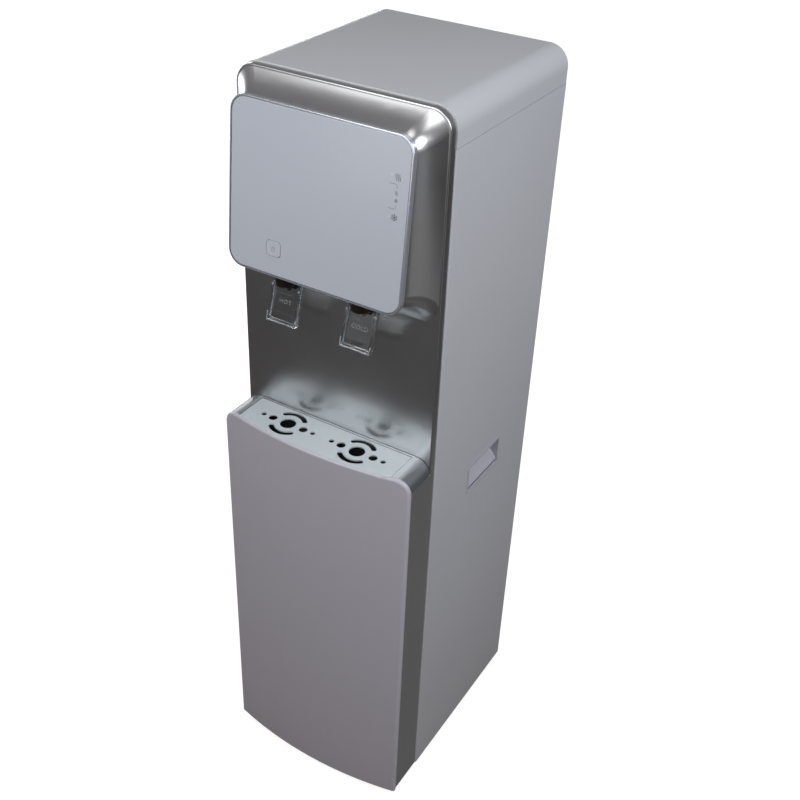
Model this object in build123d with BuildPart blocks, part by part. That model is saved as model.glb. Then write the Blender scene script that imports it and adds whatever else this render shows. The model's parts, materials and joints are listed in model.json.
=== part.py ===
"""Floor-standing water cooler with a hot and a cold tap, fed from the mains."""

import math
import os

from build123d import *

os.makedirs("parts", exist_ok=True)

# Driving dimensions in millimetres. +X is the user's right, +Y the back, +Z up.

# Cabinet of folded steel
BODY_WIDTH = 300.0
BODY_HEIGHT = 1090.0
CABINET_DEPTH = 292.0
FOOT_HEIGHT = 8.0
SHEET = 1.0
FOLD_WIDTH = 14.0
FOLD_RADIUS = 3.0
SEAT_GAP = 0.2
CUT_OVER = 1.0

# Top cover
COVER_HEIGHT = 48.0
COVER_WALL = 2.5
COVER_RADIUS = 28.0
COVER_EDGE = 4.0
SEAM_GAP = 0.6
TONGUE_DEPTH = 8.0
TONGUE_WALL = 2.0

# Base pan and feet
PAN_HEIGHT = 22.0
PAN_SHEET = 1.2
FOOT_RADIUS = 17.0
FOOT_TOE = 14.0
FOOT_INSET = 30.0

# Grip cups in the sides
GRIP_LENGTH = 94.0
GRIP_HEIGHT = 45.0
GRIP_DEPTH = 22.0
GRIP_WELL = 14.0
GRIP_LEVEL = 513.0
GRIP_BACK = 143.0
GRIP_WALL = 2.0
GRIP_LIP = 2.5
GRIP_PROUD = 0.6
GRIP_RADIUS = 4.0

# Silver fascia
FASCIA_STEP = 1.5
FASCIA_WALL = 2.5
RIM_DEPTH = 12.0
RIM_EDGE = 1.5
PLINTH_DEPTH = 66.0

# Flared pedestal behind the control bezel
FLARE_SIDE = 23.5
FLARE_TOP = 23.5
FLARE_BOTTOM = 38.0
FLARE_RADIUS = 25.0
FLARE_POWER = 1.7
FLARE_STATIONS = (0.0, 0.08, 0.2, 0.4, 0.65, 1.0)
FLARE_INSET = 3.0
FLARE_ROOT = 1.0
WINDOW_MARGIN = 14.0

# Control bezel and plate
BEZEL_MARGIN = 23.5
BEZEL_HEIGHT = 216.0
BEZEL_DEPTH = 8.0
BEZEL_RADIUS = 22.0
BEZEL_RIM = 2.2
BEZEL_DROP = 131.5
BEZEL_REACH = 48.2
BEZEL_LEAN = 5.16
PLATE_DEPTH = 4.0
PLATE_GAP = 0.6
PLATE_EDGE = 1.0

# Lock button, indicator lenses and board
BUTTON_WIDTH = 20.0
BUTTON_HEIGHT = 19.0
BUTTON_RADIUS = 4.0
BUTTON_X = -57.0
BUTTON_V = -70.6
BUTTON_PROUD = 0.8
BUTTON_TRAVEL = 1.0
BUTTON_FLANGE = 1.5
BUTTON_LEDGE = 1.5
BUTTON_GAP = 0.3
STEM_RADIUS = 3.0
LENS_RADIUS = 1.3
LENS_MARGIN = 26.0
LENS_V = (61.7, 12.5)
BOARD_MARGIN = 5.5
BOARD_HEIGHT = 150.0
BOARD_THICK = 1.6
BOARD_POST = 6.0
POST_RADIUS = 3.5
SWITCH_SIZE = 6.0
SWITCH_HEIGHT = 3.5

# Taps
TAP_SPACING = 112.8
PIVOT_REACH = 25.0
PIVOT_DROP = 16.0
BARREL_RADIUS = 13.0
BARREL_HEIGHT = 46.0
BARREL_REACH = 7.0
BARREL_DROP = 5.0
SPOUT_RADIUS = 4.5
TAIL_RADIUS = 8.0
TAIL_RISE = 25.0
TAIL_COLLAR = 3.0
TAIL_BORE = 4.0
LUG_HALF = 18.3
LUG_DEPTH = 10.0
LUG_HEIGHT = 10.0
LUG_ARM = 5.0
SLOT_CLEAR = 3.0
SLOT_DROP = 42.0
SLOT_RISE = 9.0
SLOT_NEAR = 1.5
SLOT_EDGE = 1.0
NUT_RADIUS = 14.0
NUT_HEIGHT = 6.0
BRACKET_SHEET = 1.5
BRACKET_HALF = 120.0
BRACKET_DROP = 46.0
BRACKET_HEIGHT = 105.0
THREAD_GAP = 0.15

# Clear levers
LEVER_WIDTH = 44.0
LEVER_LENGTH = 60.0
LEVER_LEAN = 14.5
LEVER_PLATE = 2.4
LEVER_PLATE_TOP = 11.5
LEVER_RIB = 3.2
EAR_RADIUS = 5.5
RIB_FRONT = 5.0
RIB_BACK = 3.5
LIP_HEIGHT = 7.0
LIP_FRONT = 6.5
RIDGE_HEIGHT = 1.6
RIDGE_RISE = 14.0
LEVER_CORNER = 7.0
PIN_RADIUS = 1.5
PIN_GAP = 0.05

# Valve plungers pushed by the levers
PLUNGER_DROP = 14.0
PLUNGER_RADIUS = 3.0
PLUNGER_LENGTH = 18.0
PLUNGER_GAP = 0.3
PLUNGER_FIT = 0.05
BOSS_RADIUS = 6.0
BOSS_LENGTH = 12.5
BOSS_FLOOR = 1.0
BOSS_CLEAR = 2.0

# Drip shelf, tray and grille
SHELF_LEVEL = 617.0
SHELF_HEIGHT = 22.0
SHELF_RADIUS = 21.0
TRAY_MARGIN = 4.7
TRAY_DEPTH = 30.0
TRAY_WALL = 2.0
TRAY_RIM = 2.0
TRAY_LEDGE = 3.5
SHELF_WALL = 3.5
SHELF_GROOVE = 0.8
TRAY_BACK = 4.5
TRAY_FRONT = 0.4
TRAY_GAP = 0.5
GRILLE_THICK = 4.0
GRILLE_PLATE = 2.0
GRILLE_SKIRT = 1.5
GRILLE_EDGE = 0.8
HOLE_REACH = 34.6
HOLE_SPACING = 112.4
HOLE_MAIN = 11.2
HOLE_SIDE = 6.2
HOLE_SIDE_X = 25.3
HOLE_END = 3.8
HOLE_END_X = 40.8
ARC_RADIUS = 23.0
ARC_WIDTH = 7.6
ARC_SWEEP = 90.0

# Bowed lower front panel
PANEL_BULGE = 18.0
PANEL_DEPTH = 5.0
PANEL_WALL = 2.0
PANEL_LIP = 2.8
PANEL_RADIUS = 22.0
PANEL_EDGE = 4.0
PANEL_GAP = 0.3

# Rear panel, rear grille and their screws
REAR_RECESS = 28.0
REAR_MARGIN = 2.0
REAR_LIP = 11.0
GRILLE_TOP = 314.0
LOUVRE_LENGTH = 92.0
LOUVRE_HEIGHT = 6.0
LOUVRE_PITCH = 15.0
LOUVRE_ROWS = 9
LOUVRE_LEVEL = 150.0
SCREW_HEAD = 2.0
SCREW_RADIUS = 3.6
SCREW_SHANK = 1.8
SCREW_LENGTH = 6.0
SCREW_INSET = 8.5
SCREW_END = 30.0
SCREW_ROWS = 4

# Condenser on the back
COIL_TUBE = 2.4
COIL_GAP = 2.5
COIL_LOOPS = 5
COIL_PITCH = 52.0
COIL_BACK = 15.0
COIL_LEVEL = 362.0
COIL_BEND = 10.0
COIL_TAIL = 20.0
TAIL_LEVEL = 292.0
WIRE_SIZE = 1.4
WIRE_COUNT = 17
WIRE_INSET = 12.0
WIRE_GAP = 0.05
CLIP_WIDTH = 7.0
CLIP_HEIGHT = 12.0
CLIP_GAP = 0.1
PIPE_RADIUS = 3.2
PIPE_HOLE = 4.5
PIPE_CLEAR = 1.5

# Compressor and filter drier
SHELL_RADIUS = 62.0
SHELL_HEIGHT = 150.0
SHELL_BACK = 99.0
SHELL_CROWN = 26.0
GROMMET_RADIUS = 9.0
GROMMET_HEIGHT = 18.0
GROMMET_SPREAD_X = 66.0
GROMMET_SPREAD_Y = 48.0
FRAME_SHEET = 3.0
BOLT_RADIUS = 3.0
BOLT_GAP = 0.15
STUB_LENGTH = 10.0
STUB_SPREAD = 15.0
DISCHARGE_RISE = 95.0
SUCTION_RISE = 65.0
TERMINAL_WIDTH = 40.0
TERMINAL_DEPTH = 24.0
DRIER_RADIUS = 9.0
DRIER_LEAD = 17.6

# Tanks, jackets and shelves
UPPER_SHARE = 0.589
LOWER_SHARE = 0.36
RACK_FLANGE = 15.0
RACK_FRONT = 28.0
RACK_NOTCH_X = 32.0
RACK_NOTCH_Y = 46.0
TANK_SPACE = 4.0
TANK_SHEET = 1.2
TANK_LEDGE = 14.0
COLD_HEIGHT = 220.0
COLD_OUT_RISE = 20.0
JACKET_WALL = 24.0
JACKET_PLAY = 0.4
JACKET_RADIUS = 30.0
JACKET_MARGIN = 14.9
LID_HEIGHT = 30.0
EVAPORATOR = 6.0
EVAPORATOR_RISE = 120.0
EVAPORATOR_HEIGHT = 90.0
EVAPORATOR_STUB = 3.0
HOT_RADIUS = 52.0
HOT_HEIGHT = 150.0
HOT_WALL = 18.0
HOT_CROWN = 12.0
HOT_SPACE = 5.7
HOT_OUT_DROP = 25.0
HOT_DRAIN_DROP = 20.0
HEATER_BAND = 4.0
HEATER_HEIGHT = 46.0
THERMOSTAT_RADIUS = 8.0
THERMOSTAT_HEIGHT = 6.0
SPIGOT_RADIUS = 5.0
SPIGOT_LENGTH = 6.0
TUBE_RADIUS = 6.0
TUBE_BEND = 10.0
TUBE_LEG = 1.5
TUBE_CLEAR = 2.0
INLET_MARGIN = 16.0
INLET_PORT = 50.0
INLET_LOOP = 36.0
INLET_RISE = 45.0
DRAIN_FALL = 25.0

# Services at the back
ROCKER_WIDTH = 14.0
ROCKER_HEIGHT = 22.0
ROCKER_FRAME = 3.0
ROCKER_PROUD = 2.0
ROCKER_INSET = 4.0
ROCKER_WALL = 1.5
ROCKER_DROP = 65.0
ROCKER_SPACING = 60.0
ROCKER_TILT = 8.0
ROCKER_GAP = 0.4
TRUNNION = 1.0
SERVICE_LEVEL = 262.0
SERVICE_MARGIN = 58.0
PORT_BORE = 3.25
PORT_RADIUS = 8.0
PORT_FLANGE = 12.0
PORT_FLANGE_DEPTH = 3.0
PORT_LENGTH = 12.0
PORT_TAIL = 10.0
GLAND_BORE = 4.0
GLAND_RADIUS = 7.5
VALVE_SIZE = 30.0
VALVE_LENGTH = 46.0
DRAIN_LEVEL = 62.0
DRAIN_RADIUS = 8.0
DRAIN_BORE = 5.0
CAP_WALL = 2.0
CAP_GAP = 0.35
CAP_FLUTES = 12

# Stations worked out from the sizes above
HALF_WIDTH = BODY_WIDTH / 2
INSIDE_HALF = HALF_WIDTH - SHEET - SEAT_GAP
OVERALL_DEPTH = CABINET_DEPTH + PLINTH_DEPTH + PANEL_BULGE + SCREW_HEAD
Y_REAR = OVERALL_DEPTH / 2 - SCREW_HEAD
Y_CABINET = Y_REAR - CABINET_DEPTH
Y_MIDDLE = (Y_CABINET + Y_REAR) / 2
Y_WALL = Y_CABINET - RIM_DEPTH
Y_BULGE = -OVERALL_DEPTH / 2
Y_WEB = Y_REAR - REAR_RECESS
Z_BASE = FOOT_HEIGHT
Z_TOP = Z_BASE + BODY_HEIGHT
Z_SEAM = Z_TOP - COVER_HEIGHT
Z_FASCIA = Z_TOP - FASCIA_STEP
Z_SHELF = Z_BASE + SHELF_LEVEL
Z_PLINTH = Z_SHELF - SHELF_HEIGHT
FASCIA_HALF = HALF_WIDTH - FASCIA_STEP
FASCIA_RADIUS = COVER_RADIUS - FASCIA_STEP
BOW_RADIUS = (HALF_WIDTH ** 2 + PANEL_BULGE ** 2) / (2 * PANEL_BULGE)
BOW_CENTRE = Y_BULGE + BOW_RADIUS
PLINTH_INSET = PANEL_DEPTH + PANEL_GAP

# Grip cups and rear sheets
GRIP_Y = Y_REAR - GRIP_BACK
GRIP_Z = Z_BASE + GRIP_LEVEL
GRIP_BOTTOM = GRIP_Z - GRIP_HEIGHT / 2 + SEAT_GAP
GRIP_CEILING = GRIP_Z + GRIP_HEIGHT / 2 - SEAT_GAP
WEB_HALF = HALF_WIDTH - FOLD_WIDTH - REAR_MARGIN
Z_GRILLE = Z_BASE + GRILLE_TOP
SCREW_X = HALF_WIDTH - SCREW_INSET
SCREW_STEP = (Z_SEAM - Z_GRILLE - 2 * SCREW_END) / (SCREW_ROWS - 1)
SCREW_LEVELS = [Z_BASE + SCREW_END, Z_GRILLE - SCREW_END]
SCREW_LEVELS += [Z_GRILLE + SCREW_END + row * SCREW_STEP for row in range(SCREW_ROWS)]
SCREW_PLACES = [(x, z) for x in (-SCREW_X, SCREW_X) for z in SCREW_LEVELS]

# Bezel, button and lenses, with v measured up the leaning face from its middle
LEAN = math.radians(BEZEL_LEAN)
Z_BEZEL = Z_TOP - BEZEL_DROP
Z_BEZEL_BOTTOM = Z_BEZEL - BEZEL_HEIGHT / 2 * math.cos(LEAN)
BEZEL_PLANE = Plane(
    origin=(0, Y_WALL - BEZEL_REACH, Z_BEZEL),
    x_dir=(1, 0, 0),
    z_dir=(0, -math.cos(LEAN), math.sin(LEAN)),
)
BEZEL_WIDTH = BODY_WIDTH - 2 * BEZEL_MARGIN
WINDOW_WIDTH = BEZEL_WIDTH - 2 * (FLARE_INSET + WINDOW_MARGIN)
WINDOW_HEIGHT = BEZEL_HEIGHT - 2 * (FLARE_INSET + WINDOW_MARGIN)
BOARD_WIDTH = WINDOW_WIDTH - 2 * BOARD_MARGIN
PLATE_WIDTH = BEZEL_WIDTH - 2 * (BEZEL_RIM + PLATE_GAP)
PLATE_HEIGHT = BEZEL_HEIGHT - 2 * (BEZEL_RIM + PLATE_GAP)
FLANGE_WIDTH = BUTTON_WIDTH + 2 * BUTTON_LEDGE
FLANGE_HEIGHT = BUTTON_HEIGHT + 2 * BUTTON_LEDGE
BUTTON_BACK = PLATE_DEPTH + BUTTON_GAP + BUTTON_FLANGE
STEM_LENGTH = BEZEL_DEPTH + BOARD_POST - SWITCH_HEIGHT - BUTTON_TRAVEL - BUTTON_GAP - BUTTON_BACK
LENS_PLACES = [(BEZEL_WIDTH / 2 - LENS_MARGIN, v) for v in LENS_V]

# Tank shelves and tubes
RACK_Y = Y_CABINET + RACK_FRONT
RACK_BACK = Y_WEB - SHEET - SEAT_GAP
Z_UPPER = Z_BASE + UPPER_SHARE * BODY_HEIGHT
Z_LOWER = Z_BASE + LOWER_SHARE * BODY_HEIGHT
Y_TUBE = RACK_Y - TUBE_RADIUS - TUBE_CLEAR
TAIL_END = Y_TUBE - TUBE_BEND - TUBE_LEG
SPIGOT_END = Y_TUBE + TUBE_BEND + TUBE_LEG

# Taps, levers and plungers
TAP_X = {"hot": -TAP_SPACING / 2, "cold": TAP_SPACING / 2}
TILT = math.radians(LEVER_LEAN)
PIVOT_Y = Y_WALL - PIVOT_REACH
PIVOT_Z = Z_BEZEL_BOTTOM - PIVOT_DROP
BARREL_Y = PIVOT_Y - BARREL_REACH
SLOT_FAR = PIVOT_REACH + BARREL_REACH + BARREL_RADIUS + SLOT_EDGE
TAIL_Z = PIVOT_Z + TAIL_RISE
Y_BRACKET = Y_WALL + FASCIA_WALL
PLUNGER_Z = PIVOT_Z - PLUNGER_DROP
PLUNGER_SEAT = PIVOT_Y - (PLUNGER_DROP - PLUNGER_RADIUS) * math.tan(TILT)
PLUNGER_TIP = PLUNGER_SEAT + LEVER_PLATE / 2 / math.cos(TILT) + PLUNGER_GAP
BOSS_END = Y_WALL - BOSS_CLEAR

# Drip tray
TRAY_INSET = PANEL_LIP + TRAY_FRONT
TRAY_REAR = Y_WALL - TRAY_BACK
TRAY_HALF = FASCIA_HALF - SHELF_RADIUS - TRAY_MARGIN
WELL_HALF = TRAY_HALF - TRAY_LEDGE
WELL_INSET = PLINTH_INSET + SHELF_WALL
WELL_BACK = TRAY_REAR - TRAY_LEDGE
Z_TRAY_RIM = Z_SHELF - GRILLE_THICK - TRAY_RIM
Y_HOLES = Y_WALL - HOLE_REACH

# Condenser, compressor and pipes
COIL_RUNS = 2 * COIL_LOOPS + 1
COIL_SIDE = HALF_WIDTH - GRIP_DEPTH - PIPE_RADIUS - PIPE_CLEAR
COIL_HALF = COIL_SIDE - COIL_PITCH / 2 - 2 * COIL_TUBE - COIL_GAP
Y_COIL = Y_WEB + COIL_BACK
Z_COIL = Z_BASE + COIL_LEVEL
Z_COIL_TOP = Z_COIL + (COIL_RUNS - 1) * COIL_PITCH
Z_TAIL = Z_BASE + TAIL_LEVEL
WIRE_HALF = COIL_HALF - WIRE_INSET
CLIP_X = COIL_HALF - CLIP_WIDTH / 2
CLIP_ROWS = (Z_COIL + COIL_PITCH, Z_COIL_TOP - COIL_PITCH)
SHELL_Y = Y_WEB - SHELL_BACK
Z_FRAME = Z_BASE + PAN_SHEET + GROMMET_HEIGHT
Z_SHELL = Z_FRAME + FRAME_SHEET / 2
STUB_END = SHELL_RADIUS + STUB_LENGTH
DISCHARGE_Y = SHELL_Y + STUB_SPREAD
Z_DISCHARGE = Z_SHELL + DISCHARGE_RISE
Z_SUCTION = Z_SHELL + SUCTION_RISE
DRIER_BACK = Y_WEB - COIL_TAIL

# Tanks
JACKET_X = COIL_SIDE - JACKET_MARGIN
JACKET_Y = (RACK_BACK - TANK_SPACE - RACK_Y - TANK_LEDGE) / 2
COLD_RADIUS = min(JACKET_X, JACKET_Y) - JACKET_WALL - JACKET_PLAY - EVAPORATOR
TANK_Y = RACK_BACK - TANK_SPACE - JACKET_Y
SUCTION_Y = TANK_Y
DRIER_LENGTH = DRIER_BACK - DRIER_LEAD - SUCTION_Y
Z_COLD = Z_UPPER + JACKET_WALL
Z_COLD_OUT = Z_COLD + COLD_OUT_RISE
Z_LID = Z_COLD + COLD_HEIGHT
Z_EVAPORATOR = Z_COLD + EVAPORATOR_RISE
EVAPORATOR_END = JACKET_X + EVAPORATOR_STUB
HOT_JACKET = HOT_RADIUS + HEATER_BAND + JACKET_PLAY + HOT_WALL
HOT_X = HOT_JACKET + HOT_SPACE + PIPE_RADIUS - COIL_SIDE
HOT_JACKET_HEIGHT = 2 * HOT_WALL + HOT_HEIGHT + THERMOSTAT_HEIGHT + JACKET_PLAY
Z_HOT = Z_LOWER + HOT_WALL
Z_HOT_OUT = Z_HOT + HOT_HEIGHT - HOT_OUT_DROP
Z_HOT_DRAIN = Z_LOWER - HOT_DRAIN_DROP
HOT_SPIGOT_END = TANK_Y - HOT_JACKET - SPIGOT_LENGTH

# Services
ROCKER_X = {"heat": -ROCKER_SPACING / 2, "cool": ROCKER_SPACING / 2}
Z_ROCKER = Z_SEAM - ROCKER_DROP
ROCKER_AXIS_Y = Y_WEB - ROCKER_INSET
ROCKER_SWING = ROCKER_HEIGHT / 2 - ROCKER_GAP
ROCKER_FACE = ROCKER_INSET + ROCKER_PROUD
ROCKER_DEPTH = ROCKER_INSET + ROCKER_HEIGHT / 2 + ROCKER_WALL
TRUNNION_LENGTH = ROCKER_WIDTH + 2 * TRUNNION
SWITCH_BODY_WIDTH = ROCKER_WIDTH + 2 * ROCKER_WALL
SWITCH_BODY_HEIGHT = ROCKER_HEIGHT + 2 * ROCKER_WALL
SERVICE_X = HALF_WIDTH - SERVICE_MARGIN
Z_SERVICE = Z_BASE + SERVICE_LEVEL
VALVE_Y = Y_WEB - SHEET - PORT_TAIL - VALVE_LENGTH / 2
INLET_X = HALF_WIDTH - INLET_MARGIN
Z_INLET_RUN = Z_SERVICE + VALVE_SIZE / 2 + INLET_RISE
Z_INLET_TOP = Z_LID + LID_HEIGHT + INLET_LOOP
Z_DRAIN = Z_BASE + DRAIN_LEVEL
DRAIN_INSIDE = Y_WEB - SHEET - PORT_TAIL
DRAIN_RISER = DRAIN_INSIDE - TUBE_BEND - TUBE_LEG
Z_DRAIN_RUN = Z_HOT_DRAIN - DRAIN_FALL
CAP_START = Y_WEB + PORT_FLANGE_DEPTH + CAP_GAP
CAP_END = Y_WEB + PORT_FLANGE_DEPTH + PORT_LENGTH + CAP_GAP + CAP_WALL


def save(piece, name):
    """Label a finished piece and write it."""
    piece.part.label = name
    export_step(piece.part, f"parts/{name}.step")


def upright(x, y, z=0.0):
    """Plane at a point whose sketch looks along -Y: local x to the right, local y up."""
    return Plane(origin=(x, y, z), x_dir=(1, 0, 0), z_dir=(0, -1, 0))


def bow_y(x, inset):
    """Place of the bowed front at x, set back by inset."""
    return BOW_CENTRE - math.sqrt((BOW_RADIUS - inset) ** 2 - x ** 2)


def bowed_plan(half_width, inset, y_back):
    """Plan with a bowed front, straight sides and a straight back."""
    side_y = bow_y(half_width, inset)
    with BuildSketch() as plan:
        with BuildLine():
            ThreePointArc((-half_width, side_y), (0, bow_y(0, inset)), (half_width, side_y))
            Polyline(
                (half_width, side_y), (half_width, y_back), (-half_width, y_back), (-half_width, side_y)
            )
        make_face()
    return plan.sketch


def bowed_strip(half_width, front_inset, back_inset):
    """Plan of a bowed strip between two set-backs of the front."""
    front_y = bow_y(half_width, front_inset)
    back_y = bow_y(half_width, back_inset)
    with BuildSketch() as plan:
        with BuildLine():
            ThreePointArc((-half_width, front_y), (0, bow_y(0, front_inset)), (half_width, front_y))
            Line((half_width, front_y), (half_width, back_y))
            ThreePointArc((half_width, back_y), (0, bow_y(0, back_inset)), (-half_width, back_y))
            Line((-half_width, back_y), (-half_width, front_y))
        make_face()
    return plan.sketch


def arched_front(half_width, z_bottom, z_top, radius):
    """Front outline with two rounded top corners, drawn as x and height."""
    with BuildSketch() as outline:
        with Locations((0, (z_bottom + z_top) / 2)):
            Rectangle(2 * half_width, z_top - z_bottom)
        fillet(outline.vertices().group_by(Axis.Y)[-1], radius)
    return outline.sketch


def round_pipe(points, radius, bend):
    """Tube along straight runs joined by tangent arcs."""
    with BuildPart() as pipe:
        with BuildLine() as route:
            FilletPolyline(*points, radius=bend)
        with BuildSketch(Plane(origin=route.line @ 0, z_dir=route.line % 0)):
            Circle(radius)
        sweep(path=route.line)
    return pipe.part


# Stations of the base pan
PAN_NARROW = HALF_WIDTH - FOLD_WIDTH - SEAT_GAP
PAN_FRONT = bow_y(PAN_NARROW, PLINTH_INSET + FASCIA_WALL) + SEAT_GAP
PAN_STEP = Y_CABINET + FOLD_RADIUS + SEAT_GAP
PAN_BACK = Y_WEB - SHEET - SEAT_GAP

# Feet: four moulded pads that widen towards the pan
FOOT_X = HALF_WIDTH - FOOT_INSET
FOOT_FRONT = bow_y(FOOT_X, PLINTH_INSET) + FOOT_INSET
FOOT_REAR = Y_WEB - FOOT_INSET
FOOT_PLACES = [(x, y) for x in (-FOOT_X, FOOT_X) for y in (FOOT_FRONT, FOOT_REAR)]

with BuildPart() as feet:
    with Locations(*[(x, y, 0) for x, y in FOOT_PLACES]):
        Cone(FOOT_TOE, FOOT_RADIUS, FOOT_HEIGHT, align=(Align.CENTER, Align.CENTER, Align.MIN))
save(feet, "feet")

# Base pan: a folded tray that carries the compressor
with BuildPart() as base_pan:
    with BuildSketch(Plane.XY.offset(Z_BASE)):
        with Locations((0, (PAN_STEP + PAN_BACK) / 2)):
            Rectangle(2 * INSIDE_HALF, PAN_BACK - PAN_STEP)
        with Locations((0, (PAN_FRONT + PAN_STEP) / 2)):
            Rectangle(2 * PAN_NARROW, PAN_STEP - PAN_FRONT)
    extrude(amount=PAN_HEIGHT)
    offset(amount=-PAN_SHEET, openings=base_pan.faces().sort_by(Axis.Z)[-1])
save(base_pan, "base_pan")

# Side panels: folded sheet with an opening for the grip cup
with BuildPart() as right_side_panel:
    with BuildSketch(Plane.XY.offset(Z_BASE)):
        with BuildLine():
            FilletPolyline(
                (HALF_WIDTH - FOLD_WIDTH, Y_CABINET),
                (HALF_WIDTH, Y_CABINET),
                (HALF_WIDTH, Y_REAR),
                (HALF_WIDTH - FOLD_WIDTH, Y_REAR),
                radius=FOLD_RADIUS,
            )
            offset(amount=SHEET, side=Side.LEFT)
        make_face()
    extrude(amount=Z_SEAM - Z_BASE)
    with BuildSketch(Plane.YZ.offset(HALF_WIDTH + CUT_OVER)):
        with Locations((GRIP_Y, GRIP_Z)):
            Rectangle(GRIP_LENGTH, GRIP_HEIGHT)
    extrude(amount=-SHEET - 2 * CUT_OVER, mode=Mode.SUBTRACT)
    with BuildSketch(upright(0, Y_REAR + CUT_OVER)):
        with Locations(*SCREW_PLACES):
            Circle(SCREW_SHANK + SEAT_GAP)
    extrude(amount=SHEET + 2 * CUT_OVER, mode=Mode.SUBTRACT)
save(right_side_panel, "right_side_panel")

with BuildPart() as left_side_panel:
    mirror(right_side_panel.part, about=Plane.YZ)
save(left_side_panel, "left_side_panel")

# Grip cups: a wedge pocket, deepest behind its upper edge, with a thin lip outside
with BuildPart() as right_grip_cup:
    with BuildSketch(upright(0, GRIP_Y + GRIP_LENGTH / 2 - SEAT_GAP)) as wedge:
        with BuildLine():
            Polyline(
                (HALF_WIDTH, GRIP_BOTTOM),
                (HALF_WIDTH, GRIP_CEILING),
                (HALF_WIDTH - GRIP_DEPTH, GRIP_CEILING),
                (HALF_WIDTH - GRIP_DEPTH, GRIP_CEILING - GRIP_WELL),
                close=True,
            )
        make_face()
    extrude(amount=GRIP_LENGTH - 2 * SEAT_GAP)
    with BuildSketch(Plane.YZ.offset(HALF_WIDTH)):
        with Locations((GRIP_Y, GRIP_Z)):
            RectangleRounded(GRIP_LENGTH + 2 * GRIP_LIP, GRIP_HEIGHT + 2 * GRIP_LIP, GRIP_RADIUS + GRIP_LIP)
    extrude(amount=GRIP_PROUD)
    with BuildSketch(upright(0, GRIP_Y + GRIP_LENGTH / 2 - SEAT_GAP - GRIP_WALL)):
        add(wedge.sketch_local)
        offset(amount=-GRIP_WALL, kind=Kind.INTERSECTION)
    extrude(amount=GRIP_LENGTH - 2 * SEAT_GAP - 2 * GRIP_WALL, mode=Mode.SUBTRACT)
    with BuildSketch(Plane.YZ.offset(HALF_WIDTH - GRIP_WALL)):
        with Locations((GRIP_Y, GRIP_Z)):
            Rectangle(GRIP_LENGTH - 2 * SEAT_GAP - 2 * GRIP_WALL, GRIP_HEIGHT - 2 * SEAT_GAP - 2 * GRIP_WALL)
    extrude(amount=GRIP_WALL + GRIP_PROUD, mode=Mode.SUBTRACT)
save(right_grip_cup, "right_grip_cup")

with BuildPart() as left_grip_cup:
    mirror(right_grip_cup.part, about=Plane.YZ)
save(left_grip_cup, "left_grip_cup")

# Top cover: a moulded shell with rolled side edges and tongues inside the side panels
with BuildPart() as top_cover:
    with BuildSketch(upright(0, Y_REAR)):
        add(arched_front(HALF_WIDTH, Z_SEAM + SEAM_GAP, Z_TOP, COVER_RADIUS))
    extrude(amount=CABINET_DEPTH)
    rear_edges = top_cover.faces().sort_by(Axis.Y)[-1].edges().sort_by(Axis.Z)[1:]
    fillet(rear_edges, COVER_EDGE)
    with BuildSketch(upright(0, Y_REAR - COVER_WALL)):
        add(arched_front(HALF_WIDTH - COVER_WALL, Z_SEAM, Z_TOP - COVER_WALL, COVER_RADIUS - COVER_WALL))
    extrude(amount=CABINET_DEPTH, mode=Mode.SUBTRACT)
    tongue_x = INSIDE_HALF - TONGUE_WALL / 2
    with Locations(*[(side * tongue_x, Y_MIDDLE, Z_SEAM + SEAM_GAP) for side in (-1, 1)]):
        Box(TONGUE_WALL, CABINET_DEPTH - 2 * (COVER_EDGE + COVER_WALL), 2 * TONGUE_DEPTH)
save(top_cover, "top_cover")


def rear_sheet(z_bottom, z_top):
    """Rear sheet folded back into the cabinet, with lips behind the side panels' folds."""
    with BuildPart() as sheet:
        with BuildSketch(Plane.XY.offset(z_bottom)):
            with BuildLine():
                FilletPolyline(
                    (WEB_HALF + REAR_LIP, Y_REAR - SHEET),
                    (WEB_HALF, Y_REAR - SHEET),
                    (WEB_HALF, Y_WEB),
                    (-WEB_HALF, Y_WEB),
                    (-WEB_HALF, Y_REAR - SHEET),
                    (-WEB_HALF - REAR_LIP, Y_REAR - SHEET),
                    radius=FOLD_RADIUS,
                )
                offset(amount=SHEET, side=Side.LEFT)
            make_face()
        extrude(amount=z_top - z_bottom)
        with BuildSketch(upright(0, Y_REAR)):
            with Locations(*SCREW_PLACES):
                Circle(SCREW_SHANK + SEAT_GAP)
        extrude(amount=4 * SHEET, mode=Mode.SUBTRACT)
    return sheet.part


# Rear panel above, with a closing shelf at its top and two switch openings
with BuildPart() as rear_panel:
    add(rear_sheet(Z_GRILLE, Z_SEAM))
    with Locations((0, (Y_WEB + Y_REAR - SHEET) / 2, Z_SEAM - SHEET / 2)):
        Box(2 * WEB_HALF, REAR_RECESS - SHEET, SHEET)
    with BuildSketch(upright(0, Y_WEB + CUT_OVER)):
        with Locations(*[(x, Z_ROCKER) for x in ROCKER_X.values()]):
            Rectangle(SWITCH_BODY_WIDTH + 2 * SEAT_GAP, SWITCH_BODY_HEIGHT + 2 * SEAT_GAP)
    extrude(amount=SHEET + 2 * CUT_OVER, mode=Mode.SUBTRACT)
save(rear_panel, "rear_panel")

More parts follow.
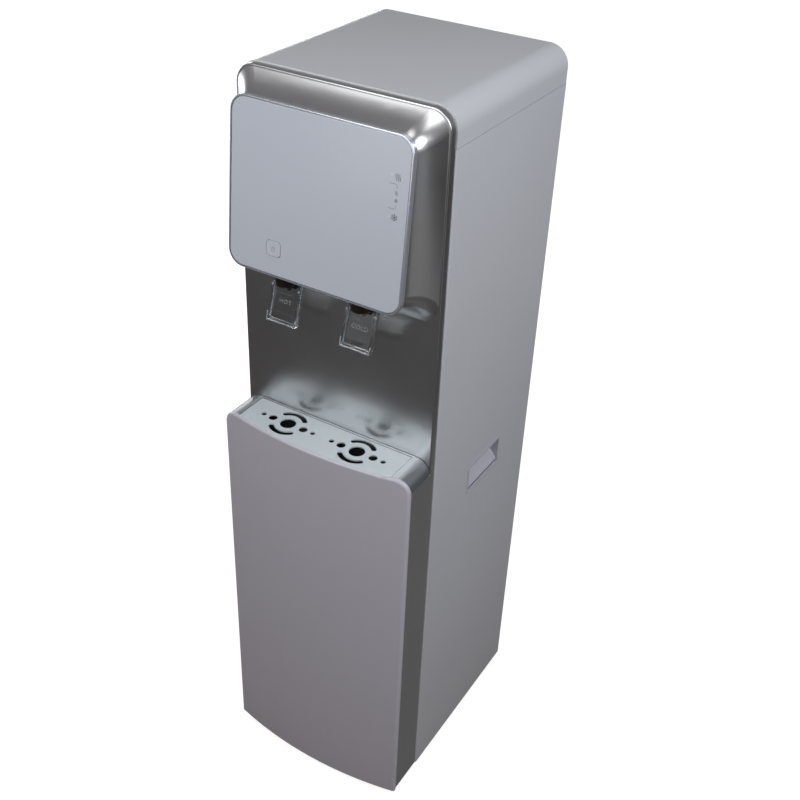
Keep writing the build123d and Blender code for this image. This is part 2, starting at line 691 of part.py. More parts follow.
# Rear grille below, with louvre slots and holes for the services and the two condenser tails
with BuildPart() as rear_grille:
    add(rear_sheet(Z_BASE, Z_GRILLE))
    with BuildSketch(upright(0, Y_WEB + CUT_OVER)):
        with Locations((0, Z_BASE + LOUVRE_LEVEL)):
            with GridLocations(LOUVRE_LENGTH + LOUVRE_PITCH, LOUVRE_PITCH, 2, LOUVRE_ROWS):
                SlotOverall(LOUVRE_LENGTH, LOUVRE_HEIGHT)
        with Locations((-SERVICE_X, Z_SERVICE)):
            Circle(PORT_RADIUS + SEAT_GAP)
        with Locations((SERVICE_X, Z_SERVICE)):
            Circle(GLAND_RADIUS + SEAT_GAP)
        with Locations((0, Z_DRAIN)):
            Circle(DRAIN_RADIUS + SEAT_GAP)
        with Locations((-COIL_SIDE, Z_TAIL), (COIL_SIDE, Z_TAIL)):
            Circle(PIPE_HOLE)
    extrude(amount=SHEET + 2 * CUT_OVER, mode=Mode.SUBTRACT)
save(rear_grille, "rear_grille")

with BuildPart() as rear_screws:
    with BuildSketch(upright(0, Y_REAR + SCREW_HEAD)):
        with Locations(*SCREW_PLACES):
            Circle(SCREW_RADIUS)
    extrude(amount=SCREW_HEAD)
    fillet(rear_screws.faces().filter_by(Axis.Y).group_by(Axis.Y)[-1].edges(), SCREW_HEAD / 2)
    with BuildSketch(upright(0, Y_REAR)):
        with Locations(*SCREW_PLACES):
            Circle(SCREW_SHANK)
    extrude(amount=SCREW_LENGTH)
save(rear_screws, "rear_screws")

# Condenser: one serpentine tube with vertical wires on both faces
with BuildPart() as condenser:
    with BuildLine() as serpentine:
        FilletPolyline(
            (COIL_SIDE, Y_WEB - COIL_TAIL, Z_TAIL),
            (COIL_SIDE, Y_COIL, Z_TAIL),
            (COIL_SIDE, Y_COIL, Z_COIL_TOP),
            (-COIL_HALF, Y_COIL, Z_COIL_TOP),
            radius=COIL_BEND,
        )
        for row in range(1, COIL_RUNS):
            end_x = -COIL_HALF if row % 2 else COIL_HALF
            turn_x = end_x + math.copysign(COIL_PITCH / 2, end_x)
            z = Z_COIL_TOP - row * COIL_PITCH
            ThreePointArc(
                (end_x, Y_COIL, z + COIL_PITCH), (turn_x, Y_COIL, z + COIL_PITCH / 2), (end_x, Y_COIL, z)
            )
            if row < COIL_RUNS - 1:
                Line((end_x, Y_COIL, z), (-end_x, Y_COIL, z))
        FilletPolyline(
            (COIL_HALF, Y_COIL, Z_COIL),
            (-COIL_SIDE, Y_COIL, Z_COIL),
            (-COIL_SIDE, Y_COIL, Z_TAIL),
            (-COIL_SIDE, Y_WEB - COIL_TAIL, Z_TAIL),
            radius=COIL_BEND,
        )
    with BuildSketch(Plane(origin=serpentine.line @ 0, z_dir=serpentine.line % 0)):
        Circle(COIL_TUBE)
    sweep(path=serpentine.wire())
    for side in (-1, 1):
        wire_y = Y_COIL + side * (COIL_TUBE + WIRE_GAP + WIRE_SIZE / 2)
        with Locations((0, wire_y, (Z_COIL + Z_COIL_TOP) / 2)):
            with GridLocations(2 * WIRE_HALF / (WIRE_COUNT - 1), 0, WIRE_COUNT, 1):
                Box(WIRE_SIZE, WIRE_SIZE, Z_COIL_TOP - Z_COIL + 2 * COIL_BEND)
save(condenser, "condenser")

# Clips that hold the second and the last but one run of the condenser
with BuildPart() as condenser_clips:
    clip_depth = COIL_BACK + 2 * COIL_TUBE
    with Locations(*[(x, Y_WEB + clip_depth / 2, z) for x in (-CLIP_X, CLIP_X) for z in CLIP_ROWS]):
        Box(CLIP_WIDTH, clip_depth, CLIP_HEIGHT)
    with Locations(*[(x, Y_COIL, z) for x in (-CLIP_X, CLIP_X) for z in CLIP_ROWS]):
        Cylinder(COIL_TUBE + CLIP_GAP, 2 * CLIP_WIDTH, rotation=(0, 90, 0), mode=Mode.SUBTRACT)
save(condenser_clips, "condenser_clips")


def flare_outline(reach, inset, setback):
    """Plane, size and corner of the flare's outline, reach 0 in the wall and 1 behind the bezel."""
    spread = (1 - reach) ** FLARE_POWER
    cove = 1 - math.sqrt(1 - (1 - reach) ** 2)
    half = BEZEL_WIDTH / 2 - FLARE_INSET + FLARE_SIDE * spread - inset
    top = BEZEL_HEIGHT / 2 - FLARE_INSET + FLARE_TOP * spread - inset
    bottom = FLARE_INSET - BEZEL_HEIGHT / 2 - FLARE_BOTTOM * cove + inset
    front_radius = BEZEL_RADIUS - FLARE_INSET
    radius = front_radius + (FLARE_RADIUS - front_radius) * spread - inset
    depth = BEZEL_REACH - BEZEL_DEPTH * math.cos(LEAN) + FLARE_ROOT
    y = Y_WALL + FLARE_ROOT - depth * reach + setback
    z = Z_BEZEL - BEZEL_DEPTH * math.sin(LEAN) * reach
    lean = LEAN * reach
    plane = Plane(origin=(0, y, z), x_dir=(1, 0, 0), z_dir=(0, -math.cos(lean), math.sin(lean)))
    return plane, 2 * half, top, bottom, radius


def flare(inset, setback):
    """Trumpet that carries the bezel: a loft of rounded outlines from the wall forward."""
    with BuildPart() as trumpet:
        for reach in FLARE_STATIONS:
            plane, width, top, bottom, radius = flare_outline(reach, inset, setback)
            with BuildSketch(plane):
                with Locations((0, (top + bottom) / 2)):
                    RectangleRounded(width, top - bottom, radius)
        loft()
    return trumpet.part


# Front fascia: one silver moulding with a flat wall, the flared pedestal that grows out of its
# top and sides, and the lower sides that carry the bowed panel
with BuildPart() as fascia_hollow:
    with BuildSketch(upright(0, Y_CABINET + CUT_OVER)):
        add(
            arched_front(
                FASCIA_HALF - FASCIA_WALL,
                Z_BASE - CUT_OVER,
                Z_FASCIA - FASCIA_WALL,
                FASCIA_RADIUS - FASCIA_WALL,
            )
        )
    extrude(amount=Y_CABINET - Y_WALL - FASCIA_WALL + CUT_OVER)
    with BuildSketch(Plane.XY.offset(Z_BASE - CUT_OVER)):
        add(bowed_plan(FASCIA_HALF - FASCIA_WALL, PLINTH_INSET + FASCIA_WALL, Y_CABINET + CUT_OVER))
    extrude(amount=Z_PLINTH - FASCIA_WALL - Z_BASE + CUT_OVER)
    add(flare(FASCIA_WALL, FASCIA_WALL))

with BuildPart() as front_fascia:
    with BuildSketch(upright(0, Y_CABINET)):
        add(arched_front(FASCIA_HALF, Z_BASE, Z_FASCIA, FASCIA_RADIUS))
    extrude(amount=RIM_DEPTH)
    rim_edges = front_fascia.faces().sort_by(Axis.Y)[0].edges().sort_by(Axis.Z)[1:]
    fillet(rim_edges, RIM_EDGE)
    with BuildSketch(Plane.XY.offset(Z_BASE)):
        add(bowed_plan(FASCIA_HALF, PLINTH_INSET, Y_CABINET))
    extrude(amount=Z_PLINTH - Z_BASE)
    add(flare(0, 0))
    add(fascia_hollow.part, mode=Mode.SUBTRACT)
    with BuildSketch(BEZEL_PLANE.offset(-BEZEL_DEPTH + CUT_OVER)):
        RectangleRounded(WINDOW_WIDTH, WINDOW_HEIGHT, BEZEL_RADIUS - FLARE_INSET)
    extrude(amount=-2 * FASCIA_WALL - CUT_OVER, mode=Mode.SUBTRACT)
    with BuildSketch(Plane.XY.offset(Z_PLINTH + CUT_OVER)):
        add(bowed_plan(WELL_HALF, WELL_INSET, WELL_BACK))
    extrude(amount=-FASCIA_WALL - 2 * CUT_OVER, mode=Mode.SUBTRACT)
    with BuildSketch(Plane.XY.offset(Z_BEZEL_BOTTOM - SLOT_DROP)):
        with Locations(*[(x, Y_WALL - (SLOT_NEAR + SLOT_FAR) / 2) for x in TAP_X.values()]):
            RectangleRounded(LEVER_WIDTH + 2 * SLOT_CLEAR, SLOT_FAR - SLOT_NEAR, SLOT_CLEAR)
    extrude(amount=SLOT_DROP + SLOT_RISE, mode=Mode.SUBTRACT)
save(front_fascia, "front_fascia")

# Control bezel: a shallow frame with a seat for the plate and posts for the board
with BuildPart() as control_bezel:
    with BuildSketch(BEZEL_PLANE):
        RectangleRounded(BEZEL_WIDTH, BEZEL_HEIGHT, BEZEL_RADIUS)
    extrude(amount=-BEZEL_DEPTH)
    fillet(control_bezel.faces().sort_by(Axis.Y)[0].edges(), PLATE_EDGE)
    with BuildSketch(BEZEL_PLANE):
        RectangleRounded(BEZEL_WIDTH - 2 * BEZEL_RIM, BEZEL_HEIGHT - 2 * BEZEL_RIM, BEZEL_RADIUS - BEZEL_RIM)
    extrude(amount=-PLATE_DEPTH, mode=Mode.SUBTRACT)
    with BuildSketch(BEZEL_PLANE.offset(-BEZEL_DEPTH)):
        with GridLocations(BOARD_WIDTH - 4 * POST_RADIUS, BOARD_HEIGHT - 4 * POST_RADIUS, 2, 2):
            Circle(POST_RADIUS)
    extrude(amount=-BOARD_POST)
    with BuildSketch(BEZEL_PLANE.offset(-PLATE_DEPTH)):
        with Locations((BUTTON_X, BUTTON_V)):
            Rectangle(FLANGE_WIDTH + 2 * BUTTON_GAP, FLANGE_HEIGHT + 2 * BUTTON_GAP)
        with Locations(*LENS_PLACES):
            Circle(LENS_RADIUS / 2)
    extrude(amount=-BEZEL_DEPTH, mode=Mode.SUBTRACT)
save(control_bezel, "control_bezel")

with BuildPart() as control_plate:
    with BuildSketch(BEZEL_PLANE):
        RectangleRounded(PLATE_WIDTH, PLATE_HEIGHT, BEZEL_RADIUS - BEZEL_RIM - PLATE_GAP)
    extrude(amount=-PLATE_DEPTH)
    fillet(control_plate.faces().sort_by(Axis.Y)[0].edges(), PLATE_EDGE)
    with BuildSketch(BEZEL_PLANE):
        with Locations((BUTTON_X, BUTTON_V)):
            RectangleRounded(
                BUTTON_WIDTH + 2 * BUTTON_GAP, BUTTON_HEIGHT + 2 * BUTTON_GAP, BUTTON_RADIUS + BUTTON_GAP
            )
        with Locations(*LENS_PLACES):
            Circle(LENS_RADIUS + PIN_GAP)
    extrude(amount=-PLATE_DEPTH, mode=Mode.SUBTRACT)
save(control_plate, "control_plate")

with BuildPart() as indicator_lenses:
    with BuildSketch(BEZEL_PLANE):
        with Locations(*LENS_PLACES):
            Circle(LENS_RADIUS)
    extrude(amount=-PLATE_DEPTH)
save(indicator_lenses, "indicator_lenses")

# Lock button: a cap through the plate, a flange behind it and a stem to the switch
with BuildPart() as lock_button:
    with BuildSketch(BEZEL_PLANE.offset(BUTTON_PROUD)):
        with Locations((BUTTON_X, BUTTON_V)):
            RectangleRounded(BUTTON_WIDTH, BUTTON_HEIGHT, BUTTON_RADIUS)
    extrude(amount=-BUTTON_PROUD - PLATE_DEPTH - BUTTON_GAP)
    fillet(lock_button.faces().sort_by(Axis.Y)[0].edges(), BUTTON_PROUD / 2)
    with BuildSketch(BEZEL_PLANE.offset(-PLATE_DEPTH - BUTTON_GAP)):
        with Locations((BUTTON_X, BUTTON_V)):
            Rectangle(FLANGE_WIDTH, FLANGE_HEIGHT)
    extrude(amount=-BUTTON_FLANGE)
    with BuildSketch(BEZEL_PLANE.offset(-PLATE_DEPTH - BUTTON_GAP - BUTTON_FLANGE)):
        with Locations((BUTTON_X, BUTTON_V)):
            Circle(STEM_RADIUS)
    extrude(amount=-STEM_LENGTH)
save(lock_button, "lock_button")

# Control board on the bezel's posts, with the button's switch and the indicator lamps
with BuildPart() as control_board:
    with BuildSketch(BEZEL_PLANE.offset(-BEZEL_DEPTH - BOARD_POST)):
        RectangleRounded(BOARD_WIDTH, BOARD_HEIGHT, POST_RADIUS)
    extrude(amount=-BOARD_THICK)
    with BuildSketch(BEZEL_PLANE.offset(-BEZEL_DEPTH - BOARD_POST)):
        with Locations((BUTTON_X, BUTTON_V)):
            Rectangle(SWITCH_SIZE, SWITCH_SIZE)
        with Locations(*LENS_PLACES):
            Circle(LENS_RADIUS)
    extrude(amount=SWITCH_HEIGHT)
save(control_board, "control_board")

# Taps: a barrel with its spout, a pivot lug, a tail through the bracket and a plunger boss
for name, x in TAP_X.items():
    with BuildPart() as tap_body:
        with Locations((x, BARREL_Y, PIVOT_Z - BARREL_DROP)):
            Cylinder(BARREL_RADIUS, BARREL_HEIGHT, align=(Align.CENTER, Align.CENTER, Align.MIN))
        fillet(tap_body.faces().sort_by(Axis.Z)[0].edges(), SPOUT_RADIUS / 2)
        with Locations((x, PIVOT_Y, PIVOT_Z)):
            Box(2 * LUG_HALF, LUG_DEPTH, LUG_HEIGHT)
        with BuildSketch(upright(x, TAIL_END, TAIL_Z)):
            Circle(TAIL_RADIUS)
        extrude(amount=TAIL_END - BARREL_Y)
        with BuildSketch(upright(x, Y_BRACKET, TAIL_Z)):
            Circle(TAIL_RADIUS + TAIL_COLLAR)
        extrude(amount=TAIL_COLLAR)
        with BuildSketch(upright(x, BOSS_END, PLUNGER_Z)):
            Circle(BOSS_RADIUS)
        extrude(amount=BOSS_LENGTH)
        with BuildSketch(upright(x, BOSS_END)):
            with Locations((0, (PLUNGER_Z + TAIL_Z) / 2)):
                Rectangle(2 * LUG_ARM, TAIL_Z - PLUNGER_Z)
        extrude(amount=BOSS_LENGTH)
        with BuildSketch(upright(x, TAIL_END, TAIL_Z)):
            Circle(TAIL_BORE)
        extrude(amount=TAIL_END - BARREL_Y, mode=Mode.SUBTRACT)
        with Locations((x, BARREL_Y, PIVOT_Z - BARREL_DROP)):
            Cylinder(
                SPOUT_RADIUS,
                TAIL_RISE + BARREL_DROP,
                align=(Align.CENTER, Align.CENTER, Align.MIN),
                mode=Mode.SUBTRACT,
            )
        with BuildSketch(upright(x, BOSS_END - BOSS_FLOOR, PLUNGER_Z)):
            Circle(PLUNGER_RADIUS + PLUNGER_FIT)
        extrude(amount=BOSS_LENGTH, mode=Mode.SUBTRACT)
        with Locations((x, PIVOT_Y, PIVOT_Z)):
            Cylinder(PIN_RADIUS + PIN_GAP, LEVER_WIDTH, rotation=(0, 90, 0), mode=Mode.SUBTRACT)
    save(tap_body, f"{name}_tap_body")

    lever_plane = Plane(
        origin=(x, PIVOT_Y, PIVOT_Z), x_dir=(1, 0, 0), z_dir=(0, math.cos(TILT), -math.sin(TILT))
    )
    with BuildPart() as lever:
        with BuildSketch(lever_plane.offset(-LEVER_PLATE / 2)):
            with Locations((0, (LEVER_PLATE_TOP + LEVER_LENGTH) / 2)):
                Rectangle(LEVER_WIDTH, LEVER_LENGTH - LEVER_PLATE_TOP)
        extrude(amount=LEVER_PLATE)
        for left in (-LEVER_WIDTH / 2, LEVER_WIDTH / 2 - LEVER_RIB):
            rib_origin = lever_plane.from_local_coords((left, 0, 0))
            rib_plane = Plane(origin=rib_origin, x_dir=lever_plane.y_dir, z_dir=(1, 0, 0))
            with BuildSketch(rib_plane):
                Circle(EAR_RADIUS)
                Polygon(
                    (0, -EAR_RADIUS),
                    (LEVER_LENGTH, -RIB_FRONT),
                    (LEVER_LENGTH, LEVER_PLATE / 2),
                    (LEVER_PLATE_TOP, RIB_BACK),
                    (0, EAR_RADIUS),
                    align=None,
                )
                Circle(PIN_RADIUS + PIN_GAP, mode=Mode.SUBTRACT)
            extrude(amount=LEVER_RIB)
        lip_origin = lever_plane.from_local_coords((-LEVER_WIDTH / 2, 0, 0))
        lip_plane = Plane(origin=lip_origin, x_dir=lever_plane.y_dir, z_dir=(1, 0, 0))
        with BuildSketch(lip_plane):
            with Locations((LEVER_LENGTH - LIP_HEIGHT / 2, (LEVER_PLATE / 2 - LIP_FRONT) / 2)):
                RectangleRounded(LIP_HEIGHT, LIP_FRONT + LEVER_PLATE / 2, LEVER_PLATE)
            with Locations((LEVER_LENGTH - RIDGE_RISE, -LEVER_PLATE / 2)):
                Circle(RIDGE_HEIGHT)
        extrude(amount=LEVER_WIDTH)
        with BuildSketch(lever_plane) as lever_outline:
            with Locations((0, (LEVER_LENGTH - EAR_RADIUS) / 2)):
                Rectangle(LEVER_WIDTH, LEVER_LENGTH + EAR_RADIUS)
            fillet(lever_outline.vertices().group_by(Axis.Y)[-1], LEVER_CORNER)
        extrude(amount=LEVER_WIDTH, both=True, mode=Mode.INTERSECT)
    save(lever, f"{name}_lever")

    with BuildPart() as plunger:
        with BuildSketch(upright(x, PLUNGER_TIP + PLUNGER_LENGTH, PLUNGER_Z)):
            Circle(PLUNGER_RADIUS)
        extrude(amount=PLUNGER_LENGTH)
        fillet(plunger.faces().sort_by(Axis.Y)[0].edges(), PLUNGER_RADIUS / 3)
    save(plunger, f"{name}_plunger")

with BuildPart() as lever_pins:
    with Locations(*[(x, PIVOT_Y, PIVOT_Z) for x in TAP_X.values()]):
        Cylinder(PIN_RADIUS, LEVER_WIDTH, rotation=(0, 90, 0))
save(lever_pins, "lever_pins")

with BuildPart() as tap_nuts:
    with BuildSketch(upright(0, Y_BRACKET + BRACKET_SHEET + NUT_HEIGHT)):
        with Locations(*[(x, TAIL_Z) for x in TAP_X.values()]):
            RegularPolygon(NUT_RADIUS, 6)
            Circle(TAIL_RADIUS + THREAD_GAP, mode=Mode.SUBTRACT)
    extrude(amount=NUT_HEIGHT)
save(tap_nuts, "tap_nuts")

with BuildPart() as tap_bracket:
    with BuildSketch(upright(0, Y_BRACKET + BRACKET_SHEET)):
        with Locations((0, Z_BEZEL_BOTTOM - BRACKET_DROP + BRACKET_HEIGHT / 2)):
            RectangleRounded(2 * BRACKET_HALF, BRACKET_HEIGHT, SLOT_CLEAR)
        with Locations(*[(x, TAIL_Z) for x in TAP_X.values()]):
            Circle(TAIL_RADIUS + THREAD_GAP, mode=Mode.SUBTRACT)
    extrude(amount=BRACKET_SHEET)
save(tap_bracket, "tap_bracket")

# Drip shelf: the frame round the tray, with rounded sides and a ledge for the tray's rim
with BuildPart() as drip_shelf:
    with BuildSketch(Plane.XY.offset(Z_PLINTH)):
        add(bowed_plan(FASCIA_HALF, PLINTH_INSET, Y_WALL - SHELF_GROOVE))
    extrude(amount=SHELF_HEIGHT)
    fillet(drip_shelf.edges().filter_by(Axis.Y).group_by(Axis.Z)[-1], SHELF_RADIUS)
    with BuildSketch(Plane.XY.offset(Z_TRAY_RIM)):
        add(bowed_plan(TRAY_HALF + TRAY_GAP, TRAY_INSET - TRAY_GAP, TRAY_REAR + TRAY_GAP))
    extrude(amount=SHELF_HEIGHT, mode=Mode.SUBTRACT)
    with BuildSketch(Plane.XY.offset(Z_PLINTH)):
        add(bowed_plan(WELL_HALF, WELL_INSET, WELL_BACK))
    extrude(amount=SHELF_HEIGHT, mode=Mode.SUBTRACT)
save(drip_shelf, "drip_shelf")

with BuildPart() as drip_tray:
    with BuildSketch(Plane.XY.offset(Z_TRAY_RIM)):
        add(bowed_plan(TRAY_HALF, TRAY_INSET, TRAY_REAR))
    extrude(amount=TRAY_RIM)
    with BuildSketch(Plane.XY.offset(Z_TRAY_RIM - TRAY_DEPTH)):
        add(bowed_plan(WELL_HALF - TRAY_GAP, WELL_INSET + TRAY_GAP, WELL_BACK - TRAY_GAP))
    extrude(amount=TRAY_DEPTH)
    fillet(drip_tray.faces().sort_by(Axis.Z)[0].edges(), TRAY_WALL)
    with BuildSketch(Plane.XY.offset(Z_TRAY_RIM - TRAY_DEPTH + TRAY_WALL)):
        add(
            bowed_plan(
                WELL_HALF - TRAY_GAP - TRAY_WALL,
                WELL_INSET + TRAY_GAP + TRAY_WALL,
                WELL_BACK - TRAY_GAP - TRAY_WALL,
            )
        )
    extrude(amount=TRAY_DEPTH + TRAY_RIM, mode=Mode.SUBTRACT)
save(drip_tray, "drip_tray")

# Drip grille: a skirted plate with one group of drain holes under each tap
with BuildPart() as drip_grille:
    with BuildSketch(Plane.XY.offset(Z_SHELF - GRILLE_THICK)):
        add(bowed_plan(TRAY_HALF, TRAY_INSET, TRAY_REAR))
    extrude(amount=GRILLE_THICK)
    fillet(drip_grille.faces().sort_by(Axis.Z)[-1].edges(), GRILLE_EDGE)
    with BuildSketch(Plane.XY.offset(Z_SHELF - GRILLE_THICK)):
        add(bowed_plan(TRAY_HALF - GRILLE_SKIRT, TRAY_INSET + GRILLE_SKIRT, TRAY_REAR - GRILLE_SKIRT))
    extrude(amount=GRILLE_THICK - GRILLE_PLATE, mode=Mode.SUBTRACT)
    for x in (-HOLE_SPACING / 2, HOLE_SPACING / 2):
        with BuildSketch(Plane.XY.offset(Z_SHELF - GRILLE_THICK)):
            with Locations((x, Y_HOLES)):
                Circle(HOLE_MAIN)
            with Locations((x - HOLE_SIDE_X, Y_HOLES), (x + HOLE_SIDE_X, Y_HOLES)):
                Circle(HOLE_SIDE)
            with Locations((x - HOLE_END_X, Y_HOLES), (x + HOLE_END_X, Y_HOLES)):
                Circle(HOLE_END)
            for middle in (90, 270):
                start = middle - ARC_SWEEP / 2
                arc = CenterArc((x, Y_HOLES), ARC_RADIUS, start, ARC_SWEEP, mode=Mode.PRIVATE)
                SlotArc(arc, ARC_WIDTH)
        extrude(amount=GRILLE_THICK, mode=Mode.SUBTRACT)
save(drip_grille, "drip_grille")

# Lower front panel: a bowed moulding with rounded top corners, hollow behind and cut down
# to a lip along its top where the tray's rim and the grille lie over it
with BuildPart() as panel_hollow:
    with BuildSketch(Plane.XY.offset(Z_BASE + PANEL_WALL)):
        add(bowed_strip(HALF_WIDTH - PANEL_WALL, PANEL_WALL, PANEL_DEPTH + CUT_OVER))
    extrude(amount=Z_PLINTH - Z_BASE - PANEL_WALL)
    with BuildSketch(Plane.XY.offset(Z_TRAY_RIM - TRAY_GAP)):
        add(bowed_strip(TRAY_HALF + TRAY_GAP, PANEL_LIP, PANEL_DEPTH + CUT_OVER))
    extrude(amount=SHELF_HEIGHT)

with BuildPart() as lower_front_panel:
    with BuildSketch(upright(0, Y_CABINET)):
        add(arched_front(HALF_WIDTH, Z_BASE, Z_SHELF, PANEL_RADIUS))
    extrude(amount=PLINTH_DEPTH + PANEL_BULGE + CUT_OVER)
    with BuildSketch(Plane.XY.offset(Z_BASE - CUT_OVER)):
        add(bowed_strip(HALF_WIDTH + CUT_OVER, 0, PANEL_DEPTH))
    extrude(amount=SHELF_LEVEL + 2 * CUT_OVER, mode=Mode.INTERSECT)
    front_edges = lower_front_panel.faces().sort_by(Axis.Y)[0].edges().sort_by(Axis.Z)[1:]
    fillet(front_edges, PANEL_EDGE)
    add(panel_hollow.part, mode=Mode.SUBTRACT)
save(lower_front_panel, "lower_front_panel")

# Compressor: a hermetic shell with its feet, two stubs and a terminal cover
with BuildPart() as compressor:
    with Locations((0, SHELL_Y, Z_SHELL)):
        Cylinder(SHELL_RADIUS, SHELL_HEIGHT, align=(Align.CENTER, Align.CENTER, Align.MIN))
    fillet(compressor.edges().filter_by(GeomType.CIRCLE), SHELL_CROWN)
    with BuildSketch(Plane.XY.offset(Z_FRAME)):
        with Locations((0, SHELL_Y)):
            RectangleRounded(
                2 * (GROMMET_SPREAD_X + GROMMET_RADIUS),
                2 * (GROMMET_SPREAD_Y + GROMMET_RADIUS),
                GROMMET_RADIUS,
            )
            with GridLocations(2 * GROMMET_SPREAD_X, 2 * GROMMET_SPREAD_Y, 2, 2):
                Circle(BOLT_RADIUS + BOLT_GAP, mode=Mode.SUBTRACT)
    extrude(amount=FRAME_SHEET)
    for stub_y, stub_z in ((DISCHARGE_Y, Z_DISCHARGE), (SUCTION_Y, Z_SUCTION)):
        with BuildSketch(Plane(origin=(0, stub_y, stub_z), x_dir=(0, 1, 0), z_dir=(1, 0, 0))):
            Circle(PIPE_RADIUS)
        extrude(amount=STUB_END)
    with Locations((0, SHELL_Y - SHELL_RADIUS, Z_SHELL + SHELL_HEIGHT / 2)):
        Box(TERMINAL_WIDTH, TERMINAL_DEPTH, TERMINAL_WIDTH)
save(compressor, "compressor")

with BuildPart() as compressor_grommets:
    with Locations((0, SHELL_Y, Z_FRAME - GROMMET_HEIGHT)):
        with GridLocations(2 * GROMMET_SPREAD_X, 2 * GROMMET_SPREAD_Y, 2, 2):
            Cylinder(GROMMET_RADIUS, GROMMET_HEIGHT, align=(Align.CENTER, Align.CENTER, Align.MIN))
            Cylinder(
                BOLT_RADIUS + BOLT_GAP,
                GROMMET_HEIGHT,
                align=(Align.CENTER, Align.CENTER, Align.MIN),
                mode=Mode.SUBTRACT,
            )
save(compressor_grommets, "compressor_grommets")

with BuildPart() as compressor_bolts:
    with Locations((0, SHELL_Y, Z_FRAME + FRAME_SHEET)):
        with GridLocations(2 * GROMMET_SPREAD_X, 2 * GROMMET_SPREAD_Y, 2, 2):
            Cylinder(2 * BOLT_RADIUS, BOLT_RADIUS, align=(Align.CENTER, Align.CENTER, Align.MIN))
            Cylinder(
                BOLT_RADIUS, FRAME_SHEET + GROMMET_HEIGHT, align=(Align.CENTER, Align.CENTER, Align.MAX)
            )
save(compressor_bolts, "compressor_bolts")

# Refrigerant pipes: discharge to the condenser, suction from and capillary to the evaporator
with BuildPart() as refrigerant_pipes:
    add(
        round_pipe(
            [
                (STUB_END, DISCHARGE_Y, Z_DISCHARGE),
                (COIL_SIDE, DISCHARGE_Y, Z_DISCHARGE),
                (COIL_SIDE, DISCHARGE_Y, Z_TAIL),
                (COIL_SIDE, Y_WEB - COIL_TAIL, Z_TAIL),
            ],
            PIPE_RADIUS,
            COIL_BEND,
        )
    )
    add(
        round_pipe(
            [
                (STUB_END, SUCTION_Y, Z_SUCTION),
                (COIL_SIDE, SUCTION_Y, Z_SUCTION),
                (COIL_SIDE, SUCTION_Y, Z_EVAPORATOR),
                (EVAPORATOR_END, SUCTION_Y, Z_EVAPORATOR),
            ],
            PIPE_RADIUS,
            COIL_BEND,
        )
    )
    add(
        round_pipe(
            [
                (-COIL_SIDE, Y_WEB - COIL_TAIL - DRIER_LENGTH, Z_TAIL),
                (-COIL_SIDE, SUCTION_Y, Z_TAIL),
                (-COIL_SIDE, SUCTION_Y, Z_EVAPORATOR),
                (-EVAPORATOR_END, SUCTION_Y, Z_EVAPORATOR),
            ],
            PIPE_RADIUS,
            COIL_BEND,
        )
    )
save(refrigerant_pipes, "refrigerant_pipes")

with BuildPart() as filter_drier:
    with BuildSketch(Plane.YZ.offset(-COIL_SIDE)):
        with BuildLine():
            Polyline(
                (DRIER_BACK, Z_TAIL),
                (DRIER_BACK, Z_TAIL + PIPE_RADIUS),
                (DRIER_BACK - DRIER_RADIUS, Z_TAIL + DRIER_RADIUS),
                (DRIER_BACK - DRIER_LENGTH + DRIER_RADIUS, Z_TAIL + DRIER_RADIUS),
                (DRIER_BACK - DRIER_LENGTH, Z_TAIL + PIPE_RADIUS),
                (DRIER_BACK - DRIER_LENGTH, Z_TAIL),
                close=True,
            )
        make_face()
    revolve(axis=Axis((-COIL_SIDE, DRIER_BACK, Z_TAIL), (0, 1, 0)))
save(filter_drier, "filter_drier")


def tank_shelf(level):
    """Folded shelf across the cabinet, notched at the rear corners for pipes and tubes."""
    with BuildPart() as shelf:
        with BuildSketch(Plane.XY.offset(level - RACK_FLANGE)):
            with Locations((0, (RACK_Y + RACK_BACK) / 2)):
                Rectangle(2 * INSIDE_HALF, RACK_BACK - RACK_Y)
        extrude(amount=RACK_FLANGE)
        offset(amount=-SHEET, openings=shelf.faces().sort_by(Axis.Z)[0])
        with BuildSketch(Plane.XY.offset(level + CUT_OVER)):
            for side in (-1, 1):
                with Locations((side * INSIDE_HALF, RACK_BACK)):
                    Rectangle(2 * RACK_NOTCH_X, 2 * RACK_NOTCH_Y)
                with Locations((side * COIL_SIDE, SUCTION_Y)):
                    Circle(PIPE_HOLE)
        extrude(amount=-RACK_FLANGE - 2 * CUT_OVER, mode=Mode.SUBTRACT)
    return shelf.part


with BuildPart() as upper_tank_shelf:
    add(tank_shelf(Z_UPPER))
save(upper_tank_shelf, "upper_tank_shelf")

with BuildPart() as lower_tank_shelf:
    add(tank_shelf(Z_LOWER))
    with BuildSketch(Plane.XY.offset(Z_LOWER + CUT_OVER)):
        with Locations((HOT_X, TANK_Y)):
            Circle(SPIGOT_RADIUS + SEAT_GAP)
    extrude(amount=-RACK_FLANGE, mode=Mode.SUBTRACT)
save(lower_tank_shelf, "lower_tank_shelf")

# Cold tank: a thin stainless can with its outlet to the cold tap
with BuildPart() as cold_tank:
    with Locations((0, TANK_Y, Z_COLD)):
        Cylinder(COLD_RADIUS, COLD_HEIGHT, align=(Align.CENTER, Align.CENTER, Align.MIN))
    with BuildSketch(upright(TAP_X["cold"], TANK_Y, Z_COLD_OUT)):
        Circle(SPIGOT_RADIUS)
    extrude(amount=TANK_Y - SPIGOT_END)
    with Locations((0, TANK_Y, Z_COLD + TANK_SHEET)):
        Cylinder(
            COLD_RADIUS - TANK_SHEET,
            COLD_HEIGHT,
            align=(Align.CENTER, Align.CENTER, Align.MIN),
            mode=Mode.SUBTRACT,
        )
save(cold_tank, "cold_tank")

